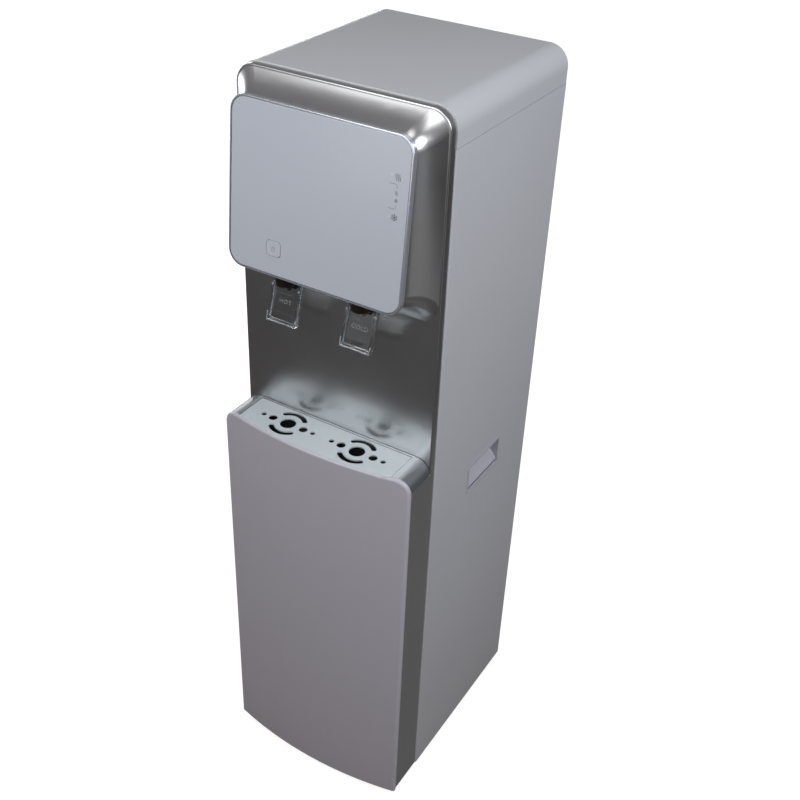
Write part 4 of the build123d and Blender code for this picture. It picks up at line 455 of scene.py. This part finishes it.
class Bench:
    """Modelling steps that the sub-assemblies share; sizes are in millimetres."""

    @staticmethod
    def block(name: str, low: Point, high: Point) -> bpy.types.Object:
        """Adds a box between two corners.

        Args:
            name: The object's name.
            low: Its lowest corner.
            high: Its highest corner.

        Returns:
            The box, with its place and size in its mesh.
        """
        clear_selection()
        centre = [(a + b) / 2 * MM for a, b in zip(low, high)]
        bpy.ops.mesh.primitive_cube_add(size=1.0, location=centre)
        box = bpy.context.active_object
        box.name = name
        box.scale = [(b - a) * MM for a, b in zip(low, high)]
        bpy.ops.object.transform_apply(location=True, rotation=True, scale=True)
        return box

    @staticmethod
    def rod(
        name: str, radius: float, length: float, place: Point, sides: int = 32
    ) -> bpy.types.Object:
        """Adds a round rod that lies along X.

        Args:
            name: The object's name.
            radius: Its radius.
            length: Its length.
            place: Its centre.
            sides: The number of its flats.

        Returns:
            The rod, with its place in its mesh.
        """
        clear_selection()
        bpy.ops.mesh.primitive_cylinder_add(
            vertices=sides,
            radius=radius * MM,
            depth=length * MM,
            location=[value * MM for value in place],
            rotation=(0, math.pi / 2, 0),
        )
        rod = bpy.context.active_object
        rod.name = name
        bpy.ops.object.transform_apply(location=True, rotation=True, scale=True)
        return rod

    @staticmethod
    def edges(thing: bpy.types.Object, test: Test) -> None:
        """Opens an object in edit mode and selects some of its edges.

        Args:
            thing: The object.
            test: What the two ends of an edge have to pass.
        """
        take(thing)
        bpy.ops.object.mode_set(mode="EDIT")
        bpy.ops.mesh.select_mode(type="EDGE")
        bpy.ops.mesh.select_all(action="DESELECT")
        mesh = bmesh.from_edit_mesh(thing.data)
        for edge in mesh.edges:
            edge.select_set(test(edge.verts[0].co / MM, edge.verts[1].co / MM))
        bmesh.update_edit_mesh(thing.data)

    @classmethod
    def divide(cls, thing: bpy.types.Object, axis: int, cuts: int) -> None:
        """Cuts the edges that run along one axis into equal lengths.

        Args:
            thing: The object.
            axis: The axis, 0 to 2.
            cuts: The number of cuts in each edge.
        """
        cls.edges(thing, lambda a, b: abs(a[axis] - b[axis]) > 0.5 * (a - b).length > 0)
        bpy.ops.mesh.subdivide(number_cuts=cuts)
        clear_selection()

    @staticmethod
    def shape(thing: bpy.types.Object, move: Callable[[Vector], Vector]) -> None:
        """Moves every point of a mesh by a rule that is given in millimetres."""
        for vertex in thing.data.vertices:
            vertex.co = move(vertex.co / MM) * MM

    @classmethod
    def bevel(cls, thing: bpy.types.Object, test: Test, width: float, steps: int) -> None:
        """Rounds some of an object's edges.

        Args:
            thing: The object.
            test: What the two ends of an edge have to pass.
            width: The width of the rounding.
            steps: The number of its flats.
        """
        cls.edges(thing, test)
        bpy.ops.mesh.bevel(offset=width * MM, segments=steps, profile=0.5, affect="EDGES")
        clear_selection()

    @staticmethod
    def combine(thing: bpy.types.Object, other: bpy.types.Object, how: Merge = Merge.JOIN) -> None:
        """Combines an object with another solid, which is used up.

        Args:
            thing: The object that stays.
            other: The other solid.
            how: Whether it is joined on or cut away.
        """
        take(thing)
        modifier = thing.modifiers.new("combine", "BOOLEAN")
        modifier.operation = how.value
        modifier.solver = "EXACT"
        modifier.object = other
        bpy.ops.object.modifier_apply(modifier=modifier.name)
        bpy.data.objects.remove(other)

    @staticmethod
    def soften(thing: bpy.types.Object, width: float, steps: int, angle: float) -> None:
        """Rounds every sharp edge a little and smooths the shading.

        Args:
            thing: The object.
            width: The width of the rounding.
            steps: The number of its flats.
            angle: The angle, in degrees, from which an edge is sharp.
        """
        take(thing)
        modifier = thing.modifiers.new("soften", "BEVEL")
        modifier.width = width * MM
        modifier.segments = steps
        modifier.limit_method = "ANGLE"
        modifier.angle_limit = math.radians(angle)
        bpy.ops.object.modifier_apply(modifier=modifier.name)
        bpy.ops.object.shade_smooth_by_angle(angle=math.radians(angle))

    @staticmethod
    def wire(name: str, points: Sequence[Point], radius: float) -> bpy.types.Object:
        """Draws a round wire through points and makes it a mesh.

        Args:
            name: The object's name.
            points: The points it follows.
            radius: Its radius.

        Returns:
            The wire as a mesh object.
        """
        data = bpy.data.curves.new(name, "CURVE")
        data.dimensions = "3D"
        data.bevel_depth = radius * MM
        data.bevel_resolution = 3
        data.use_fill_caps = True
        spline = data.splines.new("POLY")
        spline.points.add(len(points) - 1)
        for place, point in zip(spline.points, points):
            place.co = (*(value * MM for value in point), 1.0)
        wire = bpy.data.objects.new(name, data)
        bpy.context.scene.collection.objects.link(wire)
        take(wire)
        bpy.ops.object.convert(target="MESH")
        return bpy.context.active_object

    @staticmethod
    def words(name: str, text: str, height: float, depth: float, spread: float) -> bpy.types.Object:
        """Writes a short word in the XZ plane, facing -Y, and makes it a mesh.

        Args:
            name: The object's name.
            text: The word.
            height: The height of its letters.
            depth: How far the letters stand proud.
            spread: How widely the letters are set, 1 being the font's own way.

        Returns:
            The word as a mesh object, centred on the origin.
        """
        clear_selection()
        bpy.ops.object.text_add()
        word = bpy.context.active_object
        word.data.body = text
        word.data.align_x = "CENTER"
        word.data.align_y = "CENTER"
        word.data.size = height * MM / CAPITAL_SHARE
        word.data.extrude = depth * MM
        word.data.space_character = spread
        bpy.ops.object.convert(target="MESH")
        word = bpy.context.active_object
        word.name = name
        word.rotation_euler = (math.pi / 2, 0, 0)
        bpy.ops.object.transform_apply(location=True, rotation=True, scale=True)
        return word

    @staticmethod
    def join(things: Sequence[bpy.types.Object], name: str) -> bpy.types.Object:
        """Joins objects into one.

        Args:
            things: The objects.
            name: The joined object's name.

        Returns:
            The joined object.
        """
        take(things[0])
        for thing in things:
            thing.select_set(True)
        bpy.ops.object.join()
        joined = bpy.context.active_object
        joined.name = name
        return joined

    @staticmethod
    def place(thing: bpy.types.Object, turn: float, place: Point) -> None:
        """Turns an object about X, moves it and puts both into its mesh.

        Args:
            thing: The object.
            turn: The angle in radians.
            place: Where its origin goes.
        """
        take(thing)
        thing.rotation_euler = (turn, 0, 0)
        thing.location = [value * MM for value in place]
        bpy.ops.object.transform_apply(location=True, rotation=True, scale=True)


@dataclass
class TapLever:
    """One clear push lever: a ribbed plate with wings, a hollowed lip and a raised word, with a
    pale line along the lip and pale knobs on the wings that are painted highlights of its bright
    edges.

    It is modelled upright with its pivot pin at the origin and its front towards -Y. Sizes are in
    millimetres.
    """

    name: str
    word: str
    pivot: Point
    lean: float = 14.5
    half: float = 22.0
    length: float = 59.5
    edge: float = 0.3
    sharp_angle: float = 35.0
    plate: float = 2.4
    plate_top: float = 11.5
    wing: float = 3.2
    wing_blank: float = 1.0
    wing_front: float = 3.4
    wing_shoulder: float = 1.9
    wing_cuts: int = 15
    ear: float = 5.5
    ear_inset: float = 0.3
    ear_sides: int = 48
    hole: float = 1.55
    lip_height: float = 4.0
    lip_front: float = 7.6
    lip_hollow: float = 2.4
    lip_corner: float = 1.2
    lip_cuts: int = 15
    ridges: tuple[Spot, ...] = ((19.5, 1.3), (46.0, 0.7))
    # The pale line along the lip and the pale knobs on the wings are painted highlights of the
    # clear lever's bright edges and ears
    glint: float = 0.75
    glint_edge: float = 0.05
    glint_steps: int = 8
    glint_inset: float = 1.0
    glint_lift: float = 0.5
    glint_corner: float = 0.125
    glint_rise: float = 2.2
    glint_setback: float = 1.4
    glint_ends: Spot = (12.0, 10.0)
    ear_glint: float = 1.9
    ear_glint_drop: float = 11.5
    ear_glint_front: float = 3.6
    ear_glint_proud: float = 0.6
    ear_glint_edge: float = 0.6
    round_angle: float = 60.0
    word_drop: float = 31.0
    word_height: float = 5.6
    word_depth: float = 0.2
    word_proud: float = 0.15
    word_spread: float = 1.2

    def build(self, wardrobe: Wardrobe) -> list[bpy.types.Object]:
        """Builds the lever, its pale painted highlights and its word, and hangs them on the pivot.

        Args:
            wardrobe: The finishes.

        Returns:
            The three pieces.
        """
        body = f"{self.name}_lever"
        lever = self._plate()
        for side in (-1, 1):
            Bench.combine(lever, self._wing(side))
        Bench.combine(lever, self._lip())
        for drop, radius in self.ridges:
            bar = Bench.rod("ridge", radius, 2 * self.half - self.wing, (0, -self.plate / 2, -drop))
            Bench.combine(lever, bar)
        pin = Bench.rod("pin_hole", self.hole, 3 * self.half, (0, 0, 0))
        Bench.combine(lever, pin, Merge.CUT)
        Bench.soften(lever, self.edge, steps=2, angle=self.sharp_angle)
        lever.name = f"{body}_clear"
        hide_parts(body)
        pieces = {"clear_lever": lever, "lever_painted_glint": self._painted_glints(), "lever_word": self._word()}
        for slot, piece in pieces.items():
            Bench.place(piece, -math.radians(self.lean), self.pivot)
            wardrobe.dress(piece, slot)
            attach(piece, body)
        return list(pieces.values())

    def _plate(self) -> bpy.types.Object:
        """Makes the flat plate between the wings.

        Returns:
            The plate.
        """
        half = self.half - self.wing / 2
        low = (-half, -self.plate / 2, -self.length + self.lip_height / 2)
        return Bench.block("lever_plate", low, (half, self.plate / 2, -self.plate_top))

    def _wing(self, side: int) -> bpy.types.Object:
        """Makes one wing: an ear round the pin that runs down and swells towards the lip.

        Args:
            side: -1 for the left wing and 1 for the right one.

        Returns:
            The wing.
        """
        inner = side * (self.half - self.wing)
        outer = side * self.half
        low = (min(inner, outer), -self.wing_blank, -self.length + self.lip_height / 2)
        wing = Bench.block("lever_wing", low, (max(inner, outer), self.wing_blank, 0.0))
        Bench.divide(wing, axis=2, cuts=self.wing_cuts)
        Bench.shape(wing, self._swell)
        middle = ((inner + outer) / 2, 0, 0)
        ear = Bench.rod("lever_ear", self.ear, self.wing, middle, self.ear_sides)
        Bench.combine(wing, ear)
        return wing

    def _swell(self, point: Vector) -> Vector:
        """Moves a point of a wing to the wing's curved profile.

        Args:
            point: The point on the straight wing.

        Returns:
            Its place on the curved one.
        """
        drop = -point.z / self.length
        shoulder = self.wing_shoulder * (1 - drop) ** 3
        front = self.wing_front + shoulder + (self.lip_front - self.wing_front) * drop ** 4
        back = self.plate / 2 + (self.ear - self.ear_inset - self.plate / 2) * (1 - drop) ** 2
        return Vector((point.x, -front if point.y < 0 else back, point.z))

    def _lip(self) -> bpy.types.Object:
        """Makes the lip at the foot, hollowed in front to take a cup.

        Returns:
            The lip.
        """
        low = (-self.half, -self.lip_front, -self.length)
        high = (self.half, self.plate / 2, -self.length + self.lip_height)
        lip = Bench.block("lever_lip", low, high)
        Bench.divide(lip, axis=0, cuts=self.lip_cuts)
        Bench.shape(lip, self._hollow)
        Bench.bevel(lip, self._at_end, self.lip_corner, steps=3)
        return lip

    def _hollow(self, point: Vector) -> Vector:
        """Moves the lip's front back towards its middle."""
        inward = self.lip_hollow * (1 - (point.x / self.half) ** 2)
        return Vector((point.x, point.y + inward if point.y < 0 else point.y, point.z))

    def _at_end(self, a: Vector, b: Vector) -> bool:
        """Tells whether an edge lies in one of the lip's two ends."""
        return abs(a.x - b.x) < TOUCH and abs(abs(a.x) - self.half) < TOUCH

    def _painted_glints(self) -> bpy.types.Object:
        """Makes the pale line along the lip's lower edge and the pale knobs on both wings, which
        are painted highlights of the clear lever's bright edges and ears.

        Returns:
            The painted highlights of the lip and the wings as one object.
        """
        foot = -self.length
        end = -self.lip_front + self.glint_setback
        points = [(-self.half, end, foot + self.glint_ends[0])]
        for step in range(-self.glint_steps, self.glint_steps + 1):
            across = step / self.glint_steps
            x = across * (self.half - self.glint_inset)
            y = -self.lip_front + self.lip_hollow * (1 - across ** 2)
            corner = max(0.0, abs(across) - (1 - self.glint_corner)) / self.glint_corner
            points.append((x, y, foot + self.glint_lift + self.glint_rise * corner))
        points.append((self.half, end, foot + self.glint_ends[1]))
        # Painted highlight: a pale line along the lip where the clear edge shines
        pieces = [Bench.wire("lip_glint", points, self.glint)]
        for side in (-1, 1):
            place = (side * (self.half - self.wing / 2), -self.ear_glint_front, -self.ear_glint_drop)
            ear_glint = Bench.rod("wing_glint", self.ear_glint, self.wing + self.ear_glint_proud, place)
            Bench.soften(ear_glint, self.ear_glint_edge, steps=3, angle=self.round_angle)
            pieces.append(ear_glint)
        glint = Bench.join(pieces, f"{self.name}_lever_bead")
        Bench.soften(glint, self.glint_edge, steps=1, angle=self.round_angle)
        return glint

    def _word(self) -> bpy.types.Object:
        """Makes the raised word on the plate.

        Returns:
            The word.
        """
        name = f"{self.name}_lever_word"
        word = Bench.words(name, self.word, self.word_height, self.word_depth, self.word_spread)
        place = Vector((0, -self.plate / 2 - self.word_proud, -self.word_drop))
        Bench.shape(word, lambda point: point + place)
        return word


@dataclass(frozen=True)
class Sign:
    """Where a sign stands on the face, across and up from the face's middle, and its size."""

    across: float
    up: float
    size: float


@dataclass
class PanelPrintAndGapShade:
    """The thin grey print on the control face, the padlock on the lock key and a dark line round
    the key, which is painted shade of the gap about it.

    It is drawn upright at the origin: two signs for warmth, two for cold, their leader lines and
    the painted gap shade round the key. Sizes are in millimetres.
    """

    origin: Point = (0.0, -165.2, 966.5)
    lean: float = 5.16
    proud: float = 0.03
    key_proud: float = 0.8
    flatness: float = 0.12
    stroke: float = 0.72
    fine: float = 0.45
    # Width of the dark line round the key, which is painted shade of its gap
    gap_shade_stroke: float = 0.3
    large_waves: Sign = Sign(108.7, 59.6, 8.0)
    small_waves: Sign = Sign(108.1, 41.5, 4.6)
    small_flake: Sign = Sign(108.3, 32.8, 2.3)
    large_flake: Sign = Sign(107.8, 13.0, 4.3)
    leaders: tuple[tuple[Spot, ...], ...] = (
        ((98.6, 51.7), (106.6, 51.7), (108.2, 50.6), (108.4, 46.5)),
        ((98.6, 22.7), (106.4, 22.7), (108.0, 23.8), (108.0, 27.6)),
    )
    key: Spot = (-57.0, -70.6)
    key_half: Spot = (10.6, 10.1)
    key_radius: float = 4.4
    corner_steps: int = 6
    wave_steps: int = 16
    wave_sway: float = 0.11
    wave_gap: float = 0.3
    flake_arms: int = 6
    fork_start: float = 0.6
    fork_length: float = 0.38
    fork_angle: float = 50.0
    lock_half: float = 2.2
    lock_low: float = -2.6
    lock_high: float = 0.8
    bow_radius: float = 1.5
    bow_up: float = 1.4
    bow_steps: int = 12

    def build(self, wardrobe: Wardrobe) -> list[bpy.types.Object]:
        """Draws the print, the painted gap shade and the padlock and lays them on the face and the
        key.

        Args:
            wardrobe: The finishes.

        Returns:
            The two pieces.
        """
        strokes = [
            *self._waves(self.large_waves, self.stroke),
            *self._waves(self.small_waves, self.fine),
            *self._flake(self.small_flake, self.fine),
            *self._flake(self.large_flake, self.stroke),
            *(self._line(leader, self.fine) for leader in self.leaders),
            # The dark line round the key is painted shade of its gap
            self._painted_gap_shade(),
        ]
        print_and_gap_shade = Bench.join(strokes, "panel_print")
        self._lay(print_and_gap_shade, self.proud, "cabinet", wardrobe)
        lock = Bench.join(self._lock(), "lock_sign")
        self._lay(lock, self.key_proud + self.proud, "lock_button", wardrobe)
        return [print_and_gap_shade, lock]

    def _lay(self, drawing: bpy.types.Object, proud: float, body: str, wardrobe: Wardrobe) -> None:
        """Flattens a drawing, lays it on the face and lets it ride on a body.

        Args:
            drawing: The drawing, upright at the origin.
            proud: How far in front of the face it lies.
            body: The body it moves with.
            wardrobe: The finishes.
        """
        Bench.shape(drawing, lambda point: Vector((point.x, point.y * self.flatness, point.z)))
        lean = math.radians(self.lean)
        x, y, z = self.origin
        Bench.place(drawing, -lean, (x, y - proud * math.cos(lean), z + proud * math.sin(lean)))
        wardrobe.dress(drawing, "panel_print")
        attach(drawing, body)

    @staticmethod
    def _line(points: Sequence[Spot], width: float) -> bpy.types.Object:
        """Draws one thin line through places given across and up."""
        return Bench.wire("stroke", [(across, 0.0, up) for across, up in points], width / 2)

    def _waves(self, sign: Sign, width: float) -> list[bpy.types.Object]:
        """Draws three rising waves, the sign for warmth.

        Args:
            sign: The sign's middle and its height.
            width: The width of its lines.

        Returns:
            The lines.
        """
        strokes = []
        for column in (-1, 0, 1):
            points = []
            for step in range(self.wave_steps + 1):
                share = step / self.wave_steps
                sway = self.wave_sway * math.sin(2 * math.pi * share) + column * self.wave_gap
                points.append((sign.across + sway * sign.size, sign.up + (share - 0.5) * sign.size))
            strokes.append(self._line(points, width))
        return strokes

    def _flake(self, sign: Sign, width: float) -> list[bpy.types.Object]:
        """Draws a flake with a small fork on each arm, the sign for cold.

        Args:
            sign: The sign's middle and its radius.
            width: The width of its lines.

        Returns:
            The lines.
        """
        strokes = []
        for arm in range(self.flake_arms):
            angle = math.pi * (2 * arm + 1) / self.flake_arms
            middle = (sign.across, sign.up)
            knee = self._step(middle, angle, self.fork_start * sign.size)
            fork = [
                self._step(knee, angle + math.radians(turn), self.fork_length * sign.size)
                for turn in (-self.fork_angle, self.fork_angle)
            ]
            strokes.append(self._line([middle, self._step(middle, angle, sign.size)], width))
            strokes.append(self._line([fork[0], knee, fork[1]], width))
        return strokes

    @staticmethod
    def _step(start: Spot, angle: float, length: float) -> Spot:
        """Returns the place that lies at an angle and a distance from another."""
        return (start[0] + length * math.cos(angle), start[1] + length * math.sin(angle))

    def _painted_gap_shade(self) -> bpy.types.Object:
        """Draws a fine round-cornered dark line about the lock key, painted shade of the gap round
        it.

        Returns:
            The line.
        """
        points = []
        for quarter, (right, above) in enumerate(((1, 1), (-1, 1), (-1, -1), (1, -1))):
            centre = (
                self.key[0] + right * (self.key_half[0] - self.key_radius),
                self.key[1] + above * (self.key_half[1] - self.key_radius),
            )
            for step in range(self.corner_steps + 1):
                angle = math.pi / 2 * (quarter + step / self.corner_steps)
                points.append(self._step(centre, angle, self.key_radius))
        return self._line([*points, points[0]], self.gap_shade_stroke)

    def _lock(self) -> list[bpy.types.Object]:
        """Draws a small padlock, the sign on the lock key.

        Returns:
            The outline of its body and its bow.
        """
        across, up = self.key
        left, right = across - self.lock_half, across + self.lock_half
        low, high = up + self.lock_low, up + self.lock_high
        body = [(left, low), (right, low), (right, high), (left, high), (left, low)]
        centre = (across, up + self.bow_up)
        bow = [(across + self.bow_radius, high)]
        for step in range(self.bow_steps + 1):
            angle = math.pi * step / self.bow_steps
            bow.append(self._step(centre, angle, self.bow_radius))
        bow.append((across - self.bow_radius, high))
        return [self._line(body, self.fine), self._line(bow, self.fine)]


@dataclass(frozen=True)
class Lamp:
    """One soft area lamp, in metres and watts; a gleam only shows in polished surfaces."""

    name: str
    place: Point
    target: Point
    size: tuple[float, float]
    power: float
    gleam: bool = False
    tint: Colour = (1.0, 1.0, 1.0)

    def hang(self) -> None:
        """Hangs the lamp and aims it."""
        light = bpy.data.lights.new(self.name, "AREA")
        light.shape = "RECTANGLE"
        light.size, light.size_y = self.size
        light.energy = self.power
        light.color = self.tint
        lamp = bpy.data.objects.new(self.name, light)
        aim = Vector(self.target) - Vector(self.place)
        turn = aim.to_track_quat("-Z", "Y").to_matrix().to_4x4()
        lamp.matrix_world = Matrix.Translation(self.place) @ turn
        lamp.visible_camera = False
        lamp.visible_diffuse = not self.gleam
        lamp.visible_transmission = not self.gleam
        bpy.context.scene.collection.objects.link(lamp)


COOL: Colour = (0.95, 0.985, 1.03)
LAMPS = (
    Lamp("right_lamp", (1.7, 0.0, 1.6), (0.1, 0.0, 0.7), (0.8, 0.8), 12.0, tint=COOL),
    Lamp("near_lamp", (1.05, -0.3, 1.65), (0.1, 0.0, 1.0), (0.7, 0.7), 5.6, tint=COOL),
    Lamp("front_lamp", (0.0, -1.2, 1.6), (0.0, -0.15, 0.7), (1.0, 1.0), 7.0),
    Lamp("left_front_lamp", (-0.5, -1.3, 1.7), (0.0, -0.15, 0.7), (0.6, 0.6), 6.8),
    Lamp("rear_lamp", (-1.4, 1.5, 0.75), (0.0, 0.1, 0.6), (0.8, 0.8), 15.0),
    Lamp("left_lamp", (-1.7, 0.3, 0.85), (-0.15, 0.04, 0.6), (0.8, 0.8), 8.0, tint=COOL),
    Lamp("top_lamp", (0.1, 0.1, 2.5), (0.1, 0.1, 1.1), (0.8, 0.8), 3.0),
    Lamp("stripe_gleam", (-0.66, -1.06, 2.12), (0.05, -0.12, 1.09), (0.5, 0.3), 1.2, gleam=True),
    Lamp("flank_gleam", (1.42, 0.05, 0.38), (0.13, -0.14, 0.96), (1.0, 0.7), 0.34, gleam=True),
    Lamp("face_gleam", (-1.19, -2.81, 0.52), (0.05, -0.17, 1.0), (0.8, 0.5), 2.5, gleam=True),
    Lamp("floor_gleam", (0.5, 0.2, 0.004), (0.5, 0.2, 1.0), (0.7, 1.0), 0.14, gleam=True),
)


@dataclass
class Studio:
    """Pale floor, soft lamps and the camera at the photograph's viewpoint; sizes are in metres."""

    lamps: tuple[Lamp, ...] = LAMPS
    eye: Point = (0.6957, -1.1421, 1.5053)
    azimuth: float = 30.34
    elevation: float = 33.42
    roll: float = 2.47
    lens: float = 50.065
    shift: tuple[float, float] = (0.001525, -0.01516)
    sight: float = 60.0
    fill: Rgba = (1.0, 0.94, 0.99, 1.0)
    fill_strength: float = 0.15
    floor_half: float = 14.0
    floor_drop: float = 0.2 * MM
    # The distances between which the floor's white grows, and its strength at both
    floor_ring: tuple[float, float, float, float] = (0.4, 2.2, 0.86, 1.0)
    floor_tone: Rgba = (0.34, 0.29, 0.27, 1.0)
    gloss_tone: Rgba = (0.05, 0.043, 0.042, 1.0)
    gloss_share: float = 0.028
    clear_share: float = 0.13

    def build(self) -> None:
        """Builds the camera, the world, the floor and the lamps."""
        bpy.context.scene.view_settings.view_transform = "Standard"
        self._camera()
        self._world()
        self._floor()
        for lamp in self.lamps:
            lamp.hang()

    def _camera(self) -> None:
        """Makes the camera from its azimuth, elevation and roll."""
        azimuth = math.radians(self.azimuth)
        elevation = math.radians(self.elevation)
        back = Vector((
            math.sin(azimuth) * math.cos(elevation),
            -math.cos(azimuth) * math.cos(elevation),
            math.sin(elevation),
        ))
        level = Vector((math.cos(azimuth), math.sin(azimuth), 0.0))
        right = Matrix.Rotation(math.radians(self.roll), 3, back) @ level
        above = back.cross(right)
        turn = Matrix((right, above, back)).transposed().to_4x4()
        camera = bpy.data.objects.new("camera", bpy.data.cameras.new("camera"))
        camera.matrix_world = Matrix.Translation(self.eye) @ turn
        camera.data.lens = self.lens
        camera.data.shift_x, camera.data.shift_y = self.shift
        camera.data.clip_end = self.sight
        bpy.context.scene.collection.objects.link(camera)
        bpy.context.scene.camera = camera

    def _seen(self, tree: Tree) -> Socket:
        """Makes the backdrop's whiteness to a ray: full to the camera, dim in gloss and glass.

        Args:
            tree: The node tree of the floor or the world.

        Returns:
            The output with the whiteness.
        """
        rays = tree.nodes.new("ShaderNodeLightPath").outputs
        total = rays["Is Camera Ray"]
        shares = {"Is Glossy Ray": self.gloss_share, "Is Transmission Ray": self.clear_share}
        for label, share in shares.items():
            dim = calculate(tree, Operation.TIMES, rays[label], share)
            total = calculate(tree, Operation.GREATER, total, dim)
        return total

    def _world(self) -> None:
        """Makes a world that is white to look at and gives a soft, plain fill."""
        world = bpy.data.worlds.new("studio")
        world.use_nodes = True
        tree = world.node_tree
        fill = tree.nodes["Background"]
        fill.inputs["Color"].default_value = self.fill
        fill.inputs["Strength"].default_value = self.fill_strength
        white = tree.nodes.new("ShaderNodeBackground")
        white.inputs["Color"].default_value = WHITE
        white.inputs["Strength"].default_value = 1.0
        mix = tree.nodes.new("ShaderNodeMixShader")
        tree.links.new(self._seen(tree), mix.inputs["Fac"])
        tree.links.new(fill.outputs["Background"], mix.inputs[1])
        tree.links.new(white.outputs["Background"], mix.inputs[2])
        tree.links.new(mix.outputs["Shader"], tree.nodes["World Output"].inputs["Surface"])
        world.cycles.sampling_method = "NONE"
        bpy.context.scene.world = world

    def _floor(self) -> None:
        """Makes the pale floor, which keeps a soft shadow."""
        clear_selection()
        place = (0, 0, -self.floor_drop)
        bpy.ops.mesh.primitive_plane_add(size=2 * self.floor_half, location=place)
        floor = bpy.context.active_object
        floor.name = "studio_floor"
        floor.data.materials.append(self._floor_material())

    def _floor_material(self) -> bpy.types.Material:
        """Makes the floor's finish: a matt tone that takes the shadow, under an even white.

        Returns:
            The material.
        """
        material = bpy.data.materials.new("studio_floor")
        material.use_nodes = True
        tree = material.node_tree
        shader = tree.nodes["Principled BSDF"]
        glossy = tree.nodes.new("ShaderNodeLightPath").outputs["Is Glossy Ray"]
        tone = blend(tree, glossy, self.floor_tone, self.gloss_tone)
        tree.links.new(tone, shader.inputs["Base Color"])
        shader.inputs["Roughness"].default_value = 1.0
        shader.inputs["Specular IOR Level"].default_value = 0.0
        place = tree.nodes.new("ShaderNodeTexCoord")
        reach = tree.nodes.new("ShaderNodeVectorMath")
        reach.operation = "LENGTH"
        tree.links.new(place.outputs["Object"], reach.inputs[0])
        ring = tree.nodes.new("ShaderNodeMapRange")
        ring.interpolation_type = "SMOOTHSTEP"
        for label, value in zip(("From Min", "From Max", "To Min", "To Max"), self.floor_ring):
            ring.inputs[label].default_value = value
        tree.links.new(reach.outputs["Value"], ring.inputs["Value"])
        glow = tree.nodes.new("ShaderNodeEmission")
        strength = calculate(tree, Operation.TIMES, ring.outputs["Result"], self._seen(tree))
        tree.links.new(strength, glow.inputs["Strength"])
        both = tree.nodes.new("ShaderNodeAddShader")
        tree.links.new(shader.outputs["BSDF"], both.inputs[0])
        tree.links.new(glow.outputs["Emission"], both.inputs[1])
        tree.links.new(both.outputs["Shader"], tree.nodes["Material Output"].inputs["Surface"])
        material.cycles.emission_sampling = "NONE"
        return material


# Where a lever's pivot pin lies, in millimetres: half the distance between both, depth and height
PIVOT_SIDE = 56.4
PIVOT_DEPTH = -142.0
PIVOT_HEIGHT = 842.94


def report(pieces: Sequence[bpy.types.Object]) -> None:
    """Reports each piece that is ready."""
    for piece in pieces:
        LOG.info("%s is ready", piece.name)


def main() -> None:
    """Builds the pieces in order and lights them."""
    logging.basicConfig(level=logging.INFO, format="%(message)s")
    wardrobe = Wardrobe()
    report(wardrobe.dress_frame())
    for name, side in (("hot", -1), ("cold", 1)):
        pivot = (side * PIVOT_SIDE, PIVOT_DEPTH, PIVOT_HEIGHT)
        report(TapLever(name, name.upper(), pivot).build(wardrobe))
    report(PanelPrintAndGapShade().build(wardrobe))
    Studio().build()


if __name__ == "__main__":
    main()
